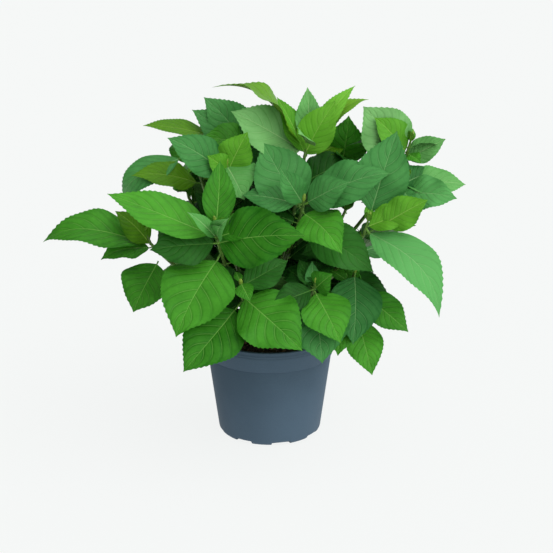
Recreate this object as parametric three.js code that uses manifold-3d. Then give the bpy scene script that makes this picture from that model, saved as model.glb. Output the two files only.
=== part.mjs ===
// A young hydrangea shrub standing in its round nursery pot.
//
// Millimetres, +Z up. The origin is the middle of the pot's flat underside, and the front is -Y.
// The shrub has woody canes that rise from the potting mix, green boughs that leave the canes,
// and one closed, uneven solid for the leaves of each shoot. Leaves sit in opposite pairs, and
// each pair stands across the one below it, so every leafy solid reaches out along its pairs.

import * as THREE from 'three';
import { mergeVertices } from 'three/addons/utils/BufferGeometryUtils.js';
import Module from 'manifold-3d';

const wasm = await Module();
wasm.setup();

// ---------------------------------------------------------------- driving dimensions

const GAP = 0.35; // clearance between touching pieces
const ROUND_SEGMENTS = 36; // flats round the pot and the potting mix

const POT = {
  height: 160,
  rimRadius: 100, // outside of the rolled lip
  bandRadius: 98, // outside of the rim band, at its top
  bandBase: 127, // height where the rim band begins
  bandStep: 1.6, // how far the band stands out from the wall below it
  wallTop: 96, // outer radius of the wall, just under the band
  wallFoot: 80, // outer radius of the wall, just above the rounded foot
  footRound: 9, // height and width of the rounded foot
  wall: 2.2,
  floor: 3,
  lipDepth: 4,
};

const DRAIN = { count: 8, width: 30, height: 6.5, inner: 66, firstTurn: -76.5 };

const MIX = { top: 147, dome: 3, chamfer: 14 }; // the surface lies below the rim

const CANE = { footRadius: 5.2, forkRadius: 3.8, sides: 8, steps: 4, sunk: 12 };
const BOUGH = { footRadius: 3.4, tipRadius: 2.2, sides: 6, steps: 4, sag: 0.16 };

// One leaf's part of a mass is an egg shape with one end at the middle of the shoot.
const BLADE = { width: 0.6, depth: 0.36 }; // as parts of the leaf's reach
const LONG_REACH = 140; // a shoot with a leaf longer than this gets the finer net
const UNEVEN = 0.09; // how far a leafy surface rises and falls, as a part of its radius

// Where each cane stands in the mix, and where it forks.
const CANES = {
  cane_left: { foot: [-16, -6], fork: [-46, -24, 226] },
  cane_right: { foot: [15, -8], fork: [52, -26, 232] },
  cane_middle: { foot: [1, 9], fork: [14, 6, 262] },
  cane_back_left: { foot: [-12, 18], fork: [-38, 52, 224] },
  cane_back_right: { foot: [18, 16], fork: [50, 56, 228] },
};

/** One pair of opposite leaves: the turn of the first, both rises, both reaches and the fullness. */
function pair(turn, rises, reaches, fullness = 1) {
  return { turn, rises, reaches, fullness };
}

/** A shoot on the far side: one pair lies across its turn from the axis, the other along it. */
function farShoot(name, cane, turn, out, height, reach, core, droop = 0) {
  const angle = THREE.MathUtils.degToRad(turn);
  return {
    name,
    cane,
    at: [out * Math.cos(angle), out * Math.sin(angle), height],
    core,
    pairs: [
      pair(turn + 84, [8 - droop, 2 - droop], [reach, 0.92 * reach]),
      pair(turn - 6, [-24 - droop, 58], [1.06 * reach, 0.62 * reach]),
    ],
  };
}

// Turns are in degrees from +X, seen from above. Rises are in degrees above the level.
const SHOOTS = [
  {
    name: 'crown',
    cane: 'cane_middle',
    at: [55, 0, 446],
    core: 42,
    pairs: [
      pair(172, [36, 40], [170, 118], 0.8),
      pair(185, [29, 54], [132, 122]),
      pair(92, [78, 36], [100, 80]),
    ],
  },
  {
    name: 'front_left',
    cane: 'cane_left',
    at: [-75, -112, 342],
    core: 42,
    pairs: [
      pair(170, [21, 8], [172, 138]),
      pair(80, [68, -50], [108, 148]),
      pair(212, [-46, 30], [132, 70]),
    ],
  },
  {
    name: 'front_middle',
    cane: 'cane_middle',
    at: [49, -74, 380],
    core: 40,
    pairs: [
      pair(140, [46, -28], [112, 108]),
      pair(2, [16, 26], [136, 96]),
    ],
  },
  {
    name: 'front_right',
    cane: 'cane_right',
    at: [138, -88, 341],
    core: 38,
    pairs: [
      pair(-29, [-40, -12], [162, 96], 0.7),
      pair(39, [66, -22], [152, 100], 0.7),
      pair(-12, [30, 40], [108, 62]),
    ],
  },
  {
    name: 'upper_left',
    cane: 'cane_left',
    at: [-62, -28, 424],
    core: 40,
    pairs: [
      pair(196, [28, 20], [118, 84]),
      pair(72, [60, -10], [68, 70]),
    ],
  },
  {
    name: 'upper_back',
    cane: 'cane_middle',
    at: [-26, 94, 424],
    core: 42,
    pairs: [
      pair(192, [44, 8], [122, 112]),
      pair(194, [18, 44], [172, 80], 0.6),
      pair(98, [-6, 60], [122, 60]),
    ],
  },
  {
    name: 'left_shoulder',
    cane: 'cane_back_left',
    at: [-108, 36, 404],
    core: 36,
    pairs: [
      pair(183, [-20, 6], [120, 76]),
      pair(180, [14, 30], [110, 76]),
      pair(193, [-5, 60], [100, 60]),
    ],
  },
  {
    name: 'far_left',
    cane: 'cane_left',
    at: [-178, -36, 312],
    core: 18,
    pairs: [
      pair(180, [0, 30], [162, 36], 0.5),
      pair(176, [17, 20], [128, 30], 0.9),
      pair(203, [-24, 40], [76, 36]),
      pair(-116, [-60, 60], [98, 36]),
    ],
  },
  {
    name: 'right_shoulder',
    cane: 'cane_back_right',
    at: [206, 22, 434],
    core: 30,
    pairs: [
      pair(-2, [24, 46], [64, 100]),
      pair(168, [6, 20], [92, 50]),
      pair(-62, [-20, 30], [66, 60]),
    ],
  },
  {
    name: 'upper_right',
    cane: 'cane_back_right',
    at: [112, 74, 408],
    core: 34,
    pairs: [
      pair(78, [42, 10], [92, 60]),
      pair(4, [44, 20], [74, 70]),
    ],
  },
  {
    name: 'far_right',
    cane: 'cane_right',
    at: [194, -22, 388],
    core: 30,
    pairs: [
      pair(10, [6, 20], [102, 60]),
      pair(-16, [-4, 20], [88, 40]),
      pair(96, [42, -10], [84, 50]),
    ],
  },
  {
    name: 'low_left',
    cane: 'cane_left',
    at: [-40, -132, 272],
    core: 34,
    pairs: [
      pair(212, [-44, 10], [146, 50]),
      pair(-36, [-32, 20], [126, 60]),
      pair(24, [30, -30], [90, 96]),
    ],
  },
  {
    name: 'low_middle',
    cane: 'cane_right',
    at: [66, -130, 274],
    core: 32,
    pairs: [
      pair(-80, [-60, 60], [112, 40]),
      pair(-58, [-48, 20], [92, 40]),
    ],
  },
  {
    name: 'low_right',
    cane: 'cane_right',
    at: [124, -74, 272],
    core: 34,
    pairs: [
      pair(-90, [-50, 30], [106, 30]),
      pair(-70, [-60, 20], [148, 30], 0.8),
      pair(-14, [-42, 10], [116, 40], 0.8),
    ],
  },
  farShoot('back_left', 'cane_back_left', 142, 162, 348, 128, 37),
  farShoot('back_middle', 'cane_back_left', 94, 158, 340, 132, 37),
  farShoot('back_right', 'cane_back_right', 44, 176, 334, 130, 37),
  farShoot('low_back_left', 'cane_back_left', 128, 124, 262, 122, 35, 18),
  farShoot('low_back_right', 'cane_back_right', 56, 138, 256, 122, 35, 18),
  farShoot('low_side', 'cane_back_right', 8, 136, 280, 100, 34, 18),
];

// ---------------------------------------------------------------- colours and finishes

const COLOURS = {
  pot: { color: 0x5a6e82, roughness: 0.62, metalness: 0 },
  mix: { color: 0x2a211b, roughness: 0.98, metalness: 0 },
  bark: { color: 0x6d5c43, roughness: 0.9, metalness: 0 },
  greenStem: { color: 0x6f8a35, roughness: 0.55, metalness: 0 },
  leaf: { color: 0x3f8f36, roughness: 0.5, metalness: 0 },
  coolLeaf: { color: 0x4a9a5c, roughness: 0.5, metalness: 0 },
  youngLeaf: { color: 0x6fb52e, roughness: 0.48, metalness: 0 },
};

const LEAF_TONES = {
  crown: 'youngLeaf',
  upper_left: 'coolLeaf',
  upper_back: 'coolLeaf',
  front_middle: 'coolLeaf',
  far_right: 'coolLeaf',
};

// ---------------------------------------------------------------- geometry helpers

/** Drop normals and texture coordinates, join shared corners and drop empty triangles. */
function welded(geometry) {
  const bare = geometry.clone();
  bare.deleteAttribute('normal');
  bare.deleteAttribute('uv');
  const merged = mergeVertices(bare, 1e-3);
  const corners = merged.index.array;
  const kept = [];
  for (let i = 0; i < corners.length; i += 3) {
    const [a, b, c] = [corners[i], corners[i + 1], corners[i + 2]];
    if (a !== b && b !== c && c !== a) {
      kept.push(a, b, c);
    }
  }
  merged.setIndex(kept);
  return merged;
}

function toSolid(geometry) {
  const merged = welded(geometry);
  return new wasm.Manifold(
    new wasm.Mesh({
      numProp: 3,
      vertProperties: Float32Array.from(merged.attributes.position.array),
      triVerts: Uint32Array.from(merged.index.array),
    }),
  );
}

function toGeometry(solid) {
  const mesh = solid.getMesh();
  const geometry = new THREE.BufferGeometry();
  geometry.setAttribute('position', new THREE.BufferAttribute(mesh.vertProperties, 3));
  geometry.setIndex(new THREE.BufferAttribute(mesh.triVerts, 1));
  geometry.computeVertexNormals();
  return geometry;
}

/** The largest closed body of a solid that a cut may have left in several. */
function largest(solid) {
  const bodies = solid.decompose();
  return bodies.reduce((best, body) => (body.volume() > best.volume() ? body : best));
}

/** The closed body of a cut limb that still holds its lower end. */
function lowest(solid) {
  const bodies = solid.decompose();
  const floor = (body) => body.boundingBox().min[2];
  return bodies.reduce((best, body) => (floor(body) < floor(best) ? body : best));
}

function cutBy(solid, cutters) {
  return cutters.reduce((left, cutter) => left.subtract(cutter), solid);
}

/** A direction from a turn about +Z and a rise above the level, both in degrees. */
function heading(turn, rise) {
  const t = THREE.MathUtils.degToRad(turn);
  const r = THREE.MathUtils.degToRad(rise);
  return new THREE.Vector3(Math.cos(t) * Math.cos(r), Math.sin(t) * Math.cos(r), Math.sin(r));
}

/** A profile of [radius, height] points turned about +Z. */
function turned(profile) {
  const points = profile.map(([radius, height]) => new THREE.Vector2(radius, height));
  return new THREE.LatheGeometry(points, ROUND_SEGMENTS).rotateX(Math.PI / 2);
}

// ---------------------------------------------------------------- pot and potting mix

/** Points of the rounded foot, from the flat underside up to the wall, set in by inset. */
function footArc(inset) {
  const centreRadius = POT.wallFoot - POT.footRound;
  const radius = POT.footRound - inset;
  const arc = [];
  for (const turn of [-90, -65, -40, -18]) {
    const t = THREE.MathUtils.degToRad(turn);
    arc.push([centreRadius + radius * Math.cos(t), POT.footRound + radius * Math.sin(t)]);
  }
  return arc;
}

function potGeometry() {
  const wallSlope = (POT.wallTop - POT.wallFoot) / (POT.bandBase - POT.footRound);
  const inside = POT.wall / Math.cos(Math.atan(wallSlope));
  const outer = [
    [0, 0],
    ...footArc(0),
    [POT.wallFoot, POT.footRound],
    [POT.wallTop, POT.bandBase],
    [POT.wallTop + POT.bandStep, POT.bandBase + 1.2],
    [POT.bandRadius, POT.height - POT.lipDepth],
    [POT.rimRadius, POT.height - POT.lipDepth + 1],
    [POT.rimRadius, POT.height - 1],
    [POT.rimRadius - 1, POT.height],
  ];
  const inner = [
    [POT.bandRadius - inside, POT.height],
    [POT.wallTop + 0.4 - inside, POT.bandBase + 1.2],
    [POT.wallFoot - inside, POT.footRound],
    [POT.wallFoot - POT.footRound + 2, POT.floor],
    [0, POT.floor],
  ];
  const body = toSolid(turned([...outer, ...inner]));
  const reach = POT.rimRadius - DRAIN.inner;
  const slots = [];
  for (let i = 0; i < DRAIN.count; i += 1) {
    const slot = new THREE.BoxGeometry(reach, DRAIN.width, 2 * DRAIN.height);
    slot.translate(DRAIN.inner + reach / 2, 0, 0);
    slot.rotateZ(THREE.MathUtils.degToRad(DRAIN.firstTurn + (360 * i) / DRAIN.count));
    slots.push(toSolid(slot));
  }
  return toGeometry(cutBy(body, slots));
}

/** The fill of the pot. It is also made a little larger, as the cutter for the canes' feet. */
function mixGeometry(grow = 0) {
  const slope = (POT.wallTop - POT.wallFoot) / (POT.bandBase - POT.footRound);
  const clear = POT.wall / Math.cos(Math.atan(slope)) + 2 * GAP;
  const wallAt = (z) => POT.wallFoot - clear + slope * (z - POT.footRound);
  return turned([
    [0, POT.floor + GAP],
    [POT.wallFoot - POT.footRound - MIX.chamfer / 2, POT.floor + GAP],
    [wallAt(POT.footRound + MIX.chamfer), POT.footRound + MIX.chamfer],
    [wallAt(POT.bandBase), POT.bandBase],
    [wallAt(POT.bandBase), MIX.top + grow],
    [0.55 * POT.rimRadius, MIX.top + 0.7 * MIX.dome + grow],
    [0, MIX.top + MIX.dome + grow],
  ]);
}

// ---------------------------------------------------------------- canes and boughs

/** A tapering limb along a curve: an even tube whose rings are then drawn in towards the tip. */
function limbGeometry(path, footRadius, tipRadius, sides, steps) {
  const ring = new THREE.Shape();
  for (let i = 0; i < sides; i += 1) {
    const turn = (2 * Math.PI * i) / sides;
    const [x, y] = [Math.cos(turn), Math.sin(turn)];
    if (i === 0) {
      ring.moveTo(x, y);
    } else {
      ring.lineTo(x, y);
    }
  }
  const tube = new THREE.ExtrudeGeometry(ring, { steps, extrudePath: path, bevelEnabled: false });
  const centres = path.getSpacedPoints(steps);
  const place = tube.attributes.position;
  const corner = new THREE.Vector3();
  for (let i = 0; i < place.count; i += 1) {
    corner.fromBufferAttribute(place, i);
    const distances = centres.map((centre) => centre.distanceTo(corner));
    const nearest = distances.indexOf(Math.min(...distances));
    const radius = THREE.MathUtils.lerp(footRadius, tipRadius, nearest / steps);
    corner.sub(centres[nearest]).multiplyScalar(radius).add(centres[nearest]);
    place.setXYZ(i, corner.x, corner.y, corner.z);
  }
  return tube;
}

function canePath({ foot, fork }) {
  const start = new THREE.Vector3(foot[0], foot[1], MIX.top - CANE.sunk);
  const end = new THREE.Vector3(...fork);
  const bend = new THREE.Vector3(foot[0], foot[1], (start.z + end.z) / 2);
  return new THREE.QuadraticBezierCurve3(start, bend, end);
}

function caneGeometry(cane, grow = 0) {
  const { footRadius, forkRadius, sides, steps } = CANE;
  return limbGeometry(canePath(cane), footRadius + grow, forkRadius + grow, sides, steps);
}

/** A bough leaves its cane just under the fork and bends up towards its shoot. */
function boughPath(shoot, order) {
  const cane = canePath(CANES[shoot.cane]);
  const start = cane.getPointAt(0.97 - 0.07 * order);
  const end = new THREE.Vector3(...shoot.at);
  const bend = start.clone().lerp(end, 0.5);
  bend.z -= BOUGH.sag * start.distanceTo(end);
  return new THREE.QuadraticBezierCurve3(start, bend, end);
}

function boughGeometry(shoot, order, grow = 0) {
  const { footRadius, tipRadius, sides, steps } = BOUGH;
  return limbGeometry(boughPath(shoot, order), footRadius + grow, tipRadius + grow, sides, steps);
}

// ---------------------------------------------------------------- masses of leaves

/** Every leaf of a shoot as a direction, a reach and a fullness. */
function leavesOf(shoot) {
  return shoot.pairs.flatMap(({ turn, rises, reaches, fullness }) =>
    [0, 1].map((side) => ({
      way: heading(turn + 180 * side, rises[side]),
      reach: reaches[side],
      fullness,
    })),
  );
}

/** The radius, in a given direction, of the egg shape of one leaf. */
function bladeRadius(direction, { way, reach, fullness }) {
  const along = direction.dot(way);
  if (along <= 0) {
    return 0;
  }
  const across = new THREE.Vector3(0, 0, 1).cross(way).normalize();
  const above = way.clone().cross(across);
  const side = direction.dot(across) / (fullness * BLADE.width);
  const lift = direction.dot(above) / (fullness * BLADE.depth);
  return (reach * along) / (along * along + side * side + lift * lift);
}

/** A slow ripple over the surface, so that no two masses are alike. */
function ripple(direction, seed) {
  const wave = Math.sin(3.1 * direction.x + 1.7 * seed) + Math.sin(4.3 * direction.y - 2.3 * seed);
  return UNEVEN * (wave + Math.sin(5.2 * direction.z + seed));
}

/** One closed, uneven solid: a rippled core with a lobe out to the tip of every leaf. */
function massGeometry(shoot, seed, grow = 0) {
  const leaves = leavesOf(shoot);
  const detail = leaves.some(({ reach }) => reach > LONG_REACH) ? 3 : 2;
  const ball = welded(new THREE.IcosahedronGeometry(1, detail));
  const place = ball.attributes.position;
  const directions = [];
  const radii = [];
  for (let i = 0; i < place.count; i += 1) {
    const direction = new THREE.Vector3().fromBufferAttribute(place, i).normalize();
    let radius = shoot.core * (1 + ripple(direction, seed));
    for (const leaf of leaves) {
      radius = Math.max(radius, bladeRadius(direction, leaf));
    }
    directions.push(direction);
    radii.push(radius);
  }
  for (const { way, reach } of leaves) {
    const closeness = directions.map((direction) => direction.dot(way));
    const nearest = closeness.indexOf(Math.max(...closeness));
    if (reach > radii[nearest]) {
      directions[nearest].copy(way);
      radii[nearest] = reach;
    }
  }
  directions.forEach((direction, i) => {
    const corner = direction.multiplyScalar(radii[i] + grow).add(new THREE.Vector3(...shoot.at));
    place.setXYZ(i, corner.x, corner.y, corner.z);
  });
  return ball;
}

// ---------------------------------------------------------------- assembly

const shrub = new THREE.Group();
shrub.name = 'potted_hydrangea';

function add(name, geometry, finish) {
  const mesh = new THREE.Mesh(geometry, new THREE.MeshStandardMaterial({ ...finish }));
  mesh.name = name;
  shrub.add(mesh);
}

add('pot', potGeometry(), COLOURS.pot);
add('potting_mix', mixGeometry(), COLOURS.mix);

// Where two masses would meet, the one that comes later in the list gives way.
const grownMasses = [];
SHOOTS.forEach((shoot, i) => {
  const whole = toSolid(massGeometry(shoot, i + 1));
  const solid = largest(cutBy(whole, grownMasses));
  grownMasses.push(toSolid(massGeometry(shoot, i + 1, GAP)));
  const tone = LEAF_TONES[shoot.name] ?? 'leaf';
  add(`leaves_${shoot.name}`, toGeometry(solid), COLOURS[tone]);
});

const grownMix = toSolid(mixGeometry(GAP));
const grownCanes = [];
for (const [name, cane] of Object.entries(CANES)) {
  const whole = toSolid(caneGeometry(cane));
  const solid = lowest(cutBy(whole, [grownMix, ...grownMasses, ...grownCanes]));
  grownCanes.push(toSolid(caneGeometry(cane, GAP)));
  add(name, toGeometry(solid), COLOURS.bark);
}

const grownBoughs = [];
const onCane = {};
for (const shoot of SHOOTS) {
  const order = onCane[shoot.cane] ?? 0;
  onCane[shoot.cane] = order + 1;
  const whole = toSolid(boughGeometry(shoot, order));
  const left = cutBy(whole, [...grownCanes, ...grownMasses, ...grownBoughs]);
  grownBoughs.push(toSolid(boughGeometry(shoot, order, GAP)));
  add(`bough_${shoot.name}`, toGeometry(lowest(left)), COLOURS.greenStem);
}

export default shrub;
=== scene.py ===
"""The looks of a young hydrangea shrub in its round nursery pot.

Everything is in metres, +Z up, with the front at -Y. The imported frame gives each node's place. The
pot is turned afresh with its lip, band and drainage notches, the canes and boughs get their bark,
and every leafy mass gives way to leaves that grow from its shoot by a seeded rule.
"""

import logging
import math
import random
from dataclasses import dataclass, field, replace
from enum import Enum
from typing import Callable, Iterator, Sequence

import bmesh
import bpy
from mathutils import Matrix, Vector, noise


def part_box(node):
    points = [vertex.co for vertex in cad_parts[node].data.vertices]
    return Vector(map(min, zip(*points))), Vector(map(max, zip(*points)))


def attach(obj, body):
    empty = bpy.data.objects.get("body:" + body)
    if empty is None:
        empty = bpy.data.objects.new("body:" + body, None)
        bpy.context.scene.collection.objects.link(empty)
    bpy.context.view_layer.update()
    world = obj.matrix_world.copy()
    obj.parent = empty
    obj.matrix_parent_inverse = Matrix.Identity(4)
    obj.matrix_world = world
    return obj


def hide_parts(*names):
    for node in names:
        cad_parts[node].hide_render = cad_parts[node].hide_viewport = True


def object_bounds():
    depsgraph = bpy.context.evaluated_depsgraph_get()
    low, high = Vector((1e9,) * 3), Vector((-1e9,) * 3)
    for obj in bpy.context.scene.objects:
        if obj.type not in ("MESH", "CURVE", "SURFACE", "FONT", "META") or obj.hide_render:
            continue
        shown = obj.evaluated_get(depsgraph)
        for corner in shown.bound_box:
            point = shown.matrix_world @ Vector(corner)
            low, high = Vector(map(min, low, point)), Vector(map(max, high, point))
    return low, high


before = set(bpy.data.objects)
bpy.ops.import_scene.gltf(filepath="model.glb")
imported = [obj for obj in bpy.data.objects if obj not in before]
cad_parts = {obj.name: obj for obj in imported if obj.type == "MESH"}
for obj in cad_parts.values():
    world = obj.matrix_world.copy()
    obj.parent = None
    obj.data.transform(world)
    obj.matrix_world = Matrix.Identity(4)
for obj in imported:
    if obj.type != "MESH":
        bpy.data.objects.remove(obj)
CAD_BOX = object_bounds()

LOG = logging.getLogger("hydrangea")
ROOT = "root"
UP = Vector((0.0, 0.0, 1.0))
MM = 0.001
SEED = 4117
QUAD = 4

Colour = tuple[float, float, float]


# ---------------------------------------------------------------- small helpers


def heading(turn: float, rise: float) -> Vector:
    """A direction from its angles.

    Args:
        turn: Degrees about +Z from +X, seen from above.
        rise: Degrees above the level.

    Returns:
        A unit vector.
    """
    t, r = math.radians(turn), math.radians(rise)
    return Vector((math.cos(t) * math.cos(r), math.sin(t) * math.cos(r), math.sin(r)))


def place_in(low: Vector, high: Vector, share: Sequence[float]) -> Vector:
    """The point of a box at a share of each of its sides.

    Args:
        low: The box's lowest corner.
        high: The box's highest corner.
        share: How far along x, y and z, from 0 to 1.

    Returns:
        The point.
    """
    return Vector(a + (b - a) * s for a, b, s in zip(low, high, share))


def curve_point(start: Vector, bend: Vector, end: Vector, t: float) -> Vector:
    """The point at t on the curve that leaves start towards bend and ends at end."""
    return start * (1 - t) ** 2 + bend * (2 * t * (1 - t)) + end * t**2


def new_object(
    name: str, bm: bmesh.types.BMesh, materials: Sequence[bpy.types.Material] = ()
) -> bpy.types.Object:
    """Put a bmesh into the scene as an object of its own.

    Args:
        name: The object's name.
        bm: Its shape, freed here.
        materials: Its finishes, in the order of its faces' material numbers.

    Returns:
        The object.
    """
    mesh = bpy.data.meshes.new(name)
    bm.to_mesh(mesh)
    bm.free()
    for material in materials:
        mesh.materials.append(material)
    made = bpy.data.objects.new(name, mesh)
    bpy.context.scene.collection.objects.link(made)
    return made


def finish_piece(
    name: str,
    bm: bmesh.types.BMesh,
    materials: Sequence[bpy.types.Material],
    slot: str,
    nodes: Sequence[str] = (),
) -> None:
    """Turn a finished bmesh into a piece of the shrub that rides on the body, and report it.

    Args:
        name: The piece's plain name.
        bm: Its shape, freed here.
        materials: Its finishes, in the order of its faces' material numbers.
        slot: Not used.
        nodes: The frame's nodes that it stands for, if any.
    """
    piece = new_object(name, bm, materials)
    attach(piece, ROOT)
    if nodes:
        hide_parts(*nodes)
    piece.data.calc_loop_triangles()
    LOG.info("%s: %d triangles, stands for %d nodes", name, len(piece.data.loop_triangles), len(nodes))


def turned(section: Sequence[tuple[float, float]], steps: int) -> bmesh.types.BMesh:
    """Turn a section about the upright axis into a closed shape.

    Args:
        section: Pairs of radius and height, from axis to axis.
        steps: How many sides it has round.

    Returns:
        The shape, its faces outwards.
    """
    shape = bmesh.new()
    verts = [shape.verts.new((radius, 0.0, z)) for radius, z in section]
    edges = [shape.edges.new(ends) for ends in zip(verts, verts[1:])]
    bmesh.ops.spin(
        shape, geom=verts + edges, cent=(0, 0, 0), axis=(0, 0, 1), angle=math.tau, steps=steps, use_merge=True
    )
    bmesh.ops.remove_doubles(shape, verts=shape.verts, dist=1e-6)
    bmesh.ops.recalc_face_normals(shape, faces=shape.faces)
    return shape


def smooth_tubes(bm: bmesh.types.BMesh) -> bmesh.types.BMesh:
    """Turn the faces of joined tubes outwards, and smooth all but their caps.

    Args:
        bm: The tubes.

    Returns:
        The same mesh.
    """
    bmesh.ops.recalc_face_normals(bm, faces=bm.faces)
    for face in bm.faces:
        face.smooth = len(face.verts) == QUAD
    return bm


def add_tube(
    bm: bmesh.types.BMesh,
    points: Sequence[Vector],
    radius_at: Callable[[float, float], float],
    sides: int,
) -> None:
    """Draw a closed, tapering tube through points, one ring extruded from the last.

    Args:
        bm: The mesh that takes the tube.
        points: The centre line.
        radius_at: The radius for a share of the length and an angle round the tube.
        sides: How many sides a ring has.
    """
    along = (points[1] - points[0]).normalized()
    side = along.orthogonal().normalized()
    ring = bmesh.ops.create_circle(bm, segments=sides, radius=1.0, cap_ends=False)["verts"]
    angles = {vert: math.atan2(vert.co.y, vert.co.x) for vert in ring}
    edges = list({edge for vert in ring for edge in vert.link_edges})
    first_edges = edges
    last = len(points) - 1
    for i, centre in enumerate(points):
        along = (points[min(i + 1, last)] - points[max(i - 1, 0)]).normalized()
        side = (side - along * side.dot(along)).normalized()
        across = along.cross(side)
        if i:
            grown = bmesh.ops.extrude_edge_only(bm, edges=edges)["geom"]
            old = {tuple(vert.co): angle for vert, angle in angles.items()}
            ring = [part for part in grown if isinstance(part, bmesh.types.BMVert)]
            edges = [part for part in grown if isinstance(part, bmesh.types.BMEdge)]
            angles = {vert: old[tuple(vert.co)] for vert in ring}
        for vert, angle in angles.items():
            reach = radius_at(i / last, angle)
            vert.co = centre + side * (reach * math.cos(angle)) + across * (reach * math.sin(angle))
    bmesh.ops.contextual_create(bm, geom=first_edges)
    bmesh.ops.contextual_create(bm, geom=edges)


# ---------------------------------------------------------------- wiring of finishes


class Wiring:
    """A small hand for laying nodes in one tree."""

    def __init__(self, tree: bpy.types.NodeTree) -> None:
        """Keep the tree that the nodes go into."""
        self.tree = tree

    def node(self, kind: str, **settings: object) -> bpy.types.Node:
        """Add a node.

        Args:
            kind: The node's type.
            settings: Properties to set on it.

        Returns:
            The node.
        """
        made = self.tree.nodes.new(kind)
        for key, value in settings.items():
            setattr(made, key, value)
        return made

    def feed(self, socket: bpy.types.NodeSocket, value: object) -> None:
        """Link an output to a socket, or set the socket to a plain value.

        Args:
            socket: The input that takes it.
            value: An output or a plain value.
        """
        if isinstance(value, bpy.types.NodeSocket):
            self.tree.links.new(value, socket)
        else:
            socket.default_value = value

    def sum(self, operation: str, *values: object, clamp: bool = False) -> bpy.types.NodeSocket:
        """Add a Math node.

        Args:
            operation: Its operation.
            values: Its inputs, sockets or numbers.
            clamp: Whether the result is kept from 0 to 1.

        Returns:
            Its output.
        """
        made = self.node("ShaderNodeMath", operation=operation, use_clamp=clamp)
        for socket, value in zip(made.inputs, values):
            self.feed(socket, value)
        return made.outputs[0]

    def plus(self, first: object, second: object) -> bpy.types.NodeSocket:
        """Add one value to another."""
        return self.sum("ADD", first, second)

    def less(self, first: object, second: object) -> bpy.types.NodeSocket:
        """Take the second value from the first."""
        return self.sum("SUBTRACT", first, second)

    def times(self, first: object, second: object) -> bpy.types.NodeSocket:
        """Multiply two values."""
        return self.sum("MULTIPLY", first, second)

    def ease(
        self, value: object, low: float, high: float, first: float = 0.0, last: float = 1.0
    ) -> bpy.types.NodeSocket:
        """Map a value smoothly from one range to another.

        Args:
            value: The input.
            low: Where the change starts.
            high: Where it ends.
            first: The result at and before low.
            last: The result at and after high.

        Returns:
            The mapped value.
        """
        made = self.node("ShaderNodeMapRange", interpolation_type="SMOOTHSTEP")
        for socket, part in zip(made.inputs, (value, low, high, first, last)):
            self.feed(socket, part)
        return made.outputs[0]

    def blend(self, share: object, first: object, second: object) -> bpy.types.NodeSocket:
        """Mix two colours.

        Args:
            share: How much of the second.
            first: A colour or an output.
            second: A colour or an output.

        Returns:
            The mixed colour.
        """
        made = self.node("ShaderNodeMix", data_type="RGBA")
        self.feed(made.inputs[0], share)
        self.feed(made.inputs[6], first)
        self.feed(made.inputs[7], second)
        return made.outputs[2]

    def noise(self, vector: object, scale: object, detail: float) -> bpy.types.NodeSocket:
        """Add a noise pattern.

        Args:
            vector: Where it is read.
            scale: Its scale, a number or an output.
            detail: How many octaves it has.

        Returns:
            Its value.
        """
        made = self.node("ShaderNodeTexNoise")
        self.feed(made.inputs["Vector"], vector)
        self.feed(made.inputs["Scale"], scale)
        made.inputs["Detail"].default_value = detail
        return made.outputs[0]

    def parts(self, vector: object) -> bpy.types.NodeOutputs:
        """Split a vector into its parts.

        Args:
            vector: The output to split.

        Returns:
            The outputs of x, y and z.
        """
        made = self.node("ShaderNodeSeparateXYZ")
        self.feed(made.inputs[0], vector)
        return made.outputs


def new_group(
    name: str, inputs: Sequence[tuple[str, str]], outputs: Sequence[tuple[str, str]]
) -> tuple[Wiring, bpy.types.Node, bpy.types.Node]:
    """Start a shader node group with named sockets.

    Args:
        name: The group's name.
        inputs: Each input's name and socket type.
        outputs: Each output's name and socket type.

    Returns:
        Its wiring, its input node and its output node.
    """
    tree = bpy.data.node_groups.new(name, "ShaderNodeTree")
    for direction, sockets in (("INPUT", inputs), ("OUTPUT", outputs)):
        for label, kind in sockets:
            tree.interface.new_socket(label, in_out=direction, socket_type=kind)
    wires = Wiring(tree)
    return wires, wires.node("NodeGroupInput"), wires.node("NodeGroupOutput")


FLOAT, COLOUR = "NodeSocketFloat", "NodeSocketColor"
GRAIN_RANGE = (0.32, 0.68)


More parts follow.
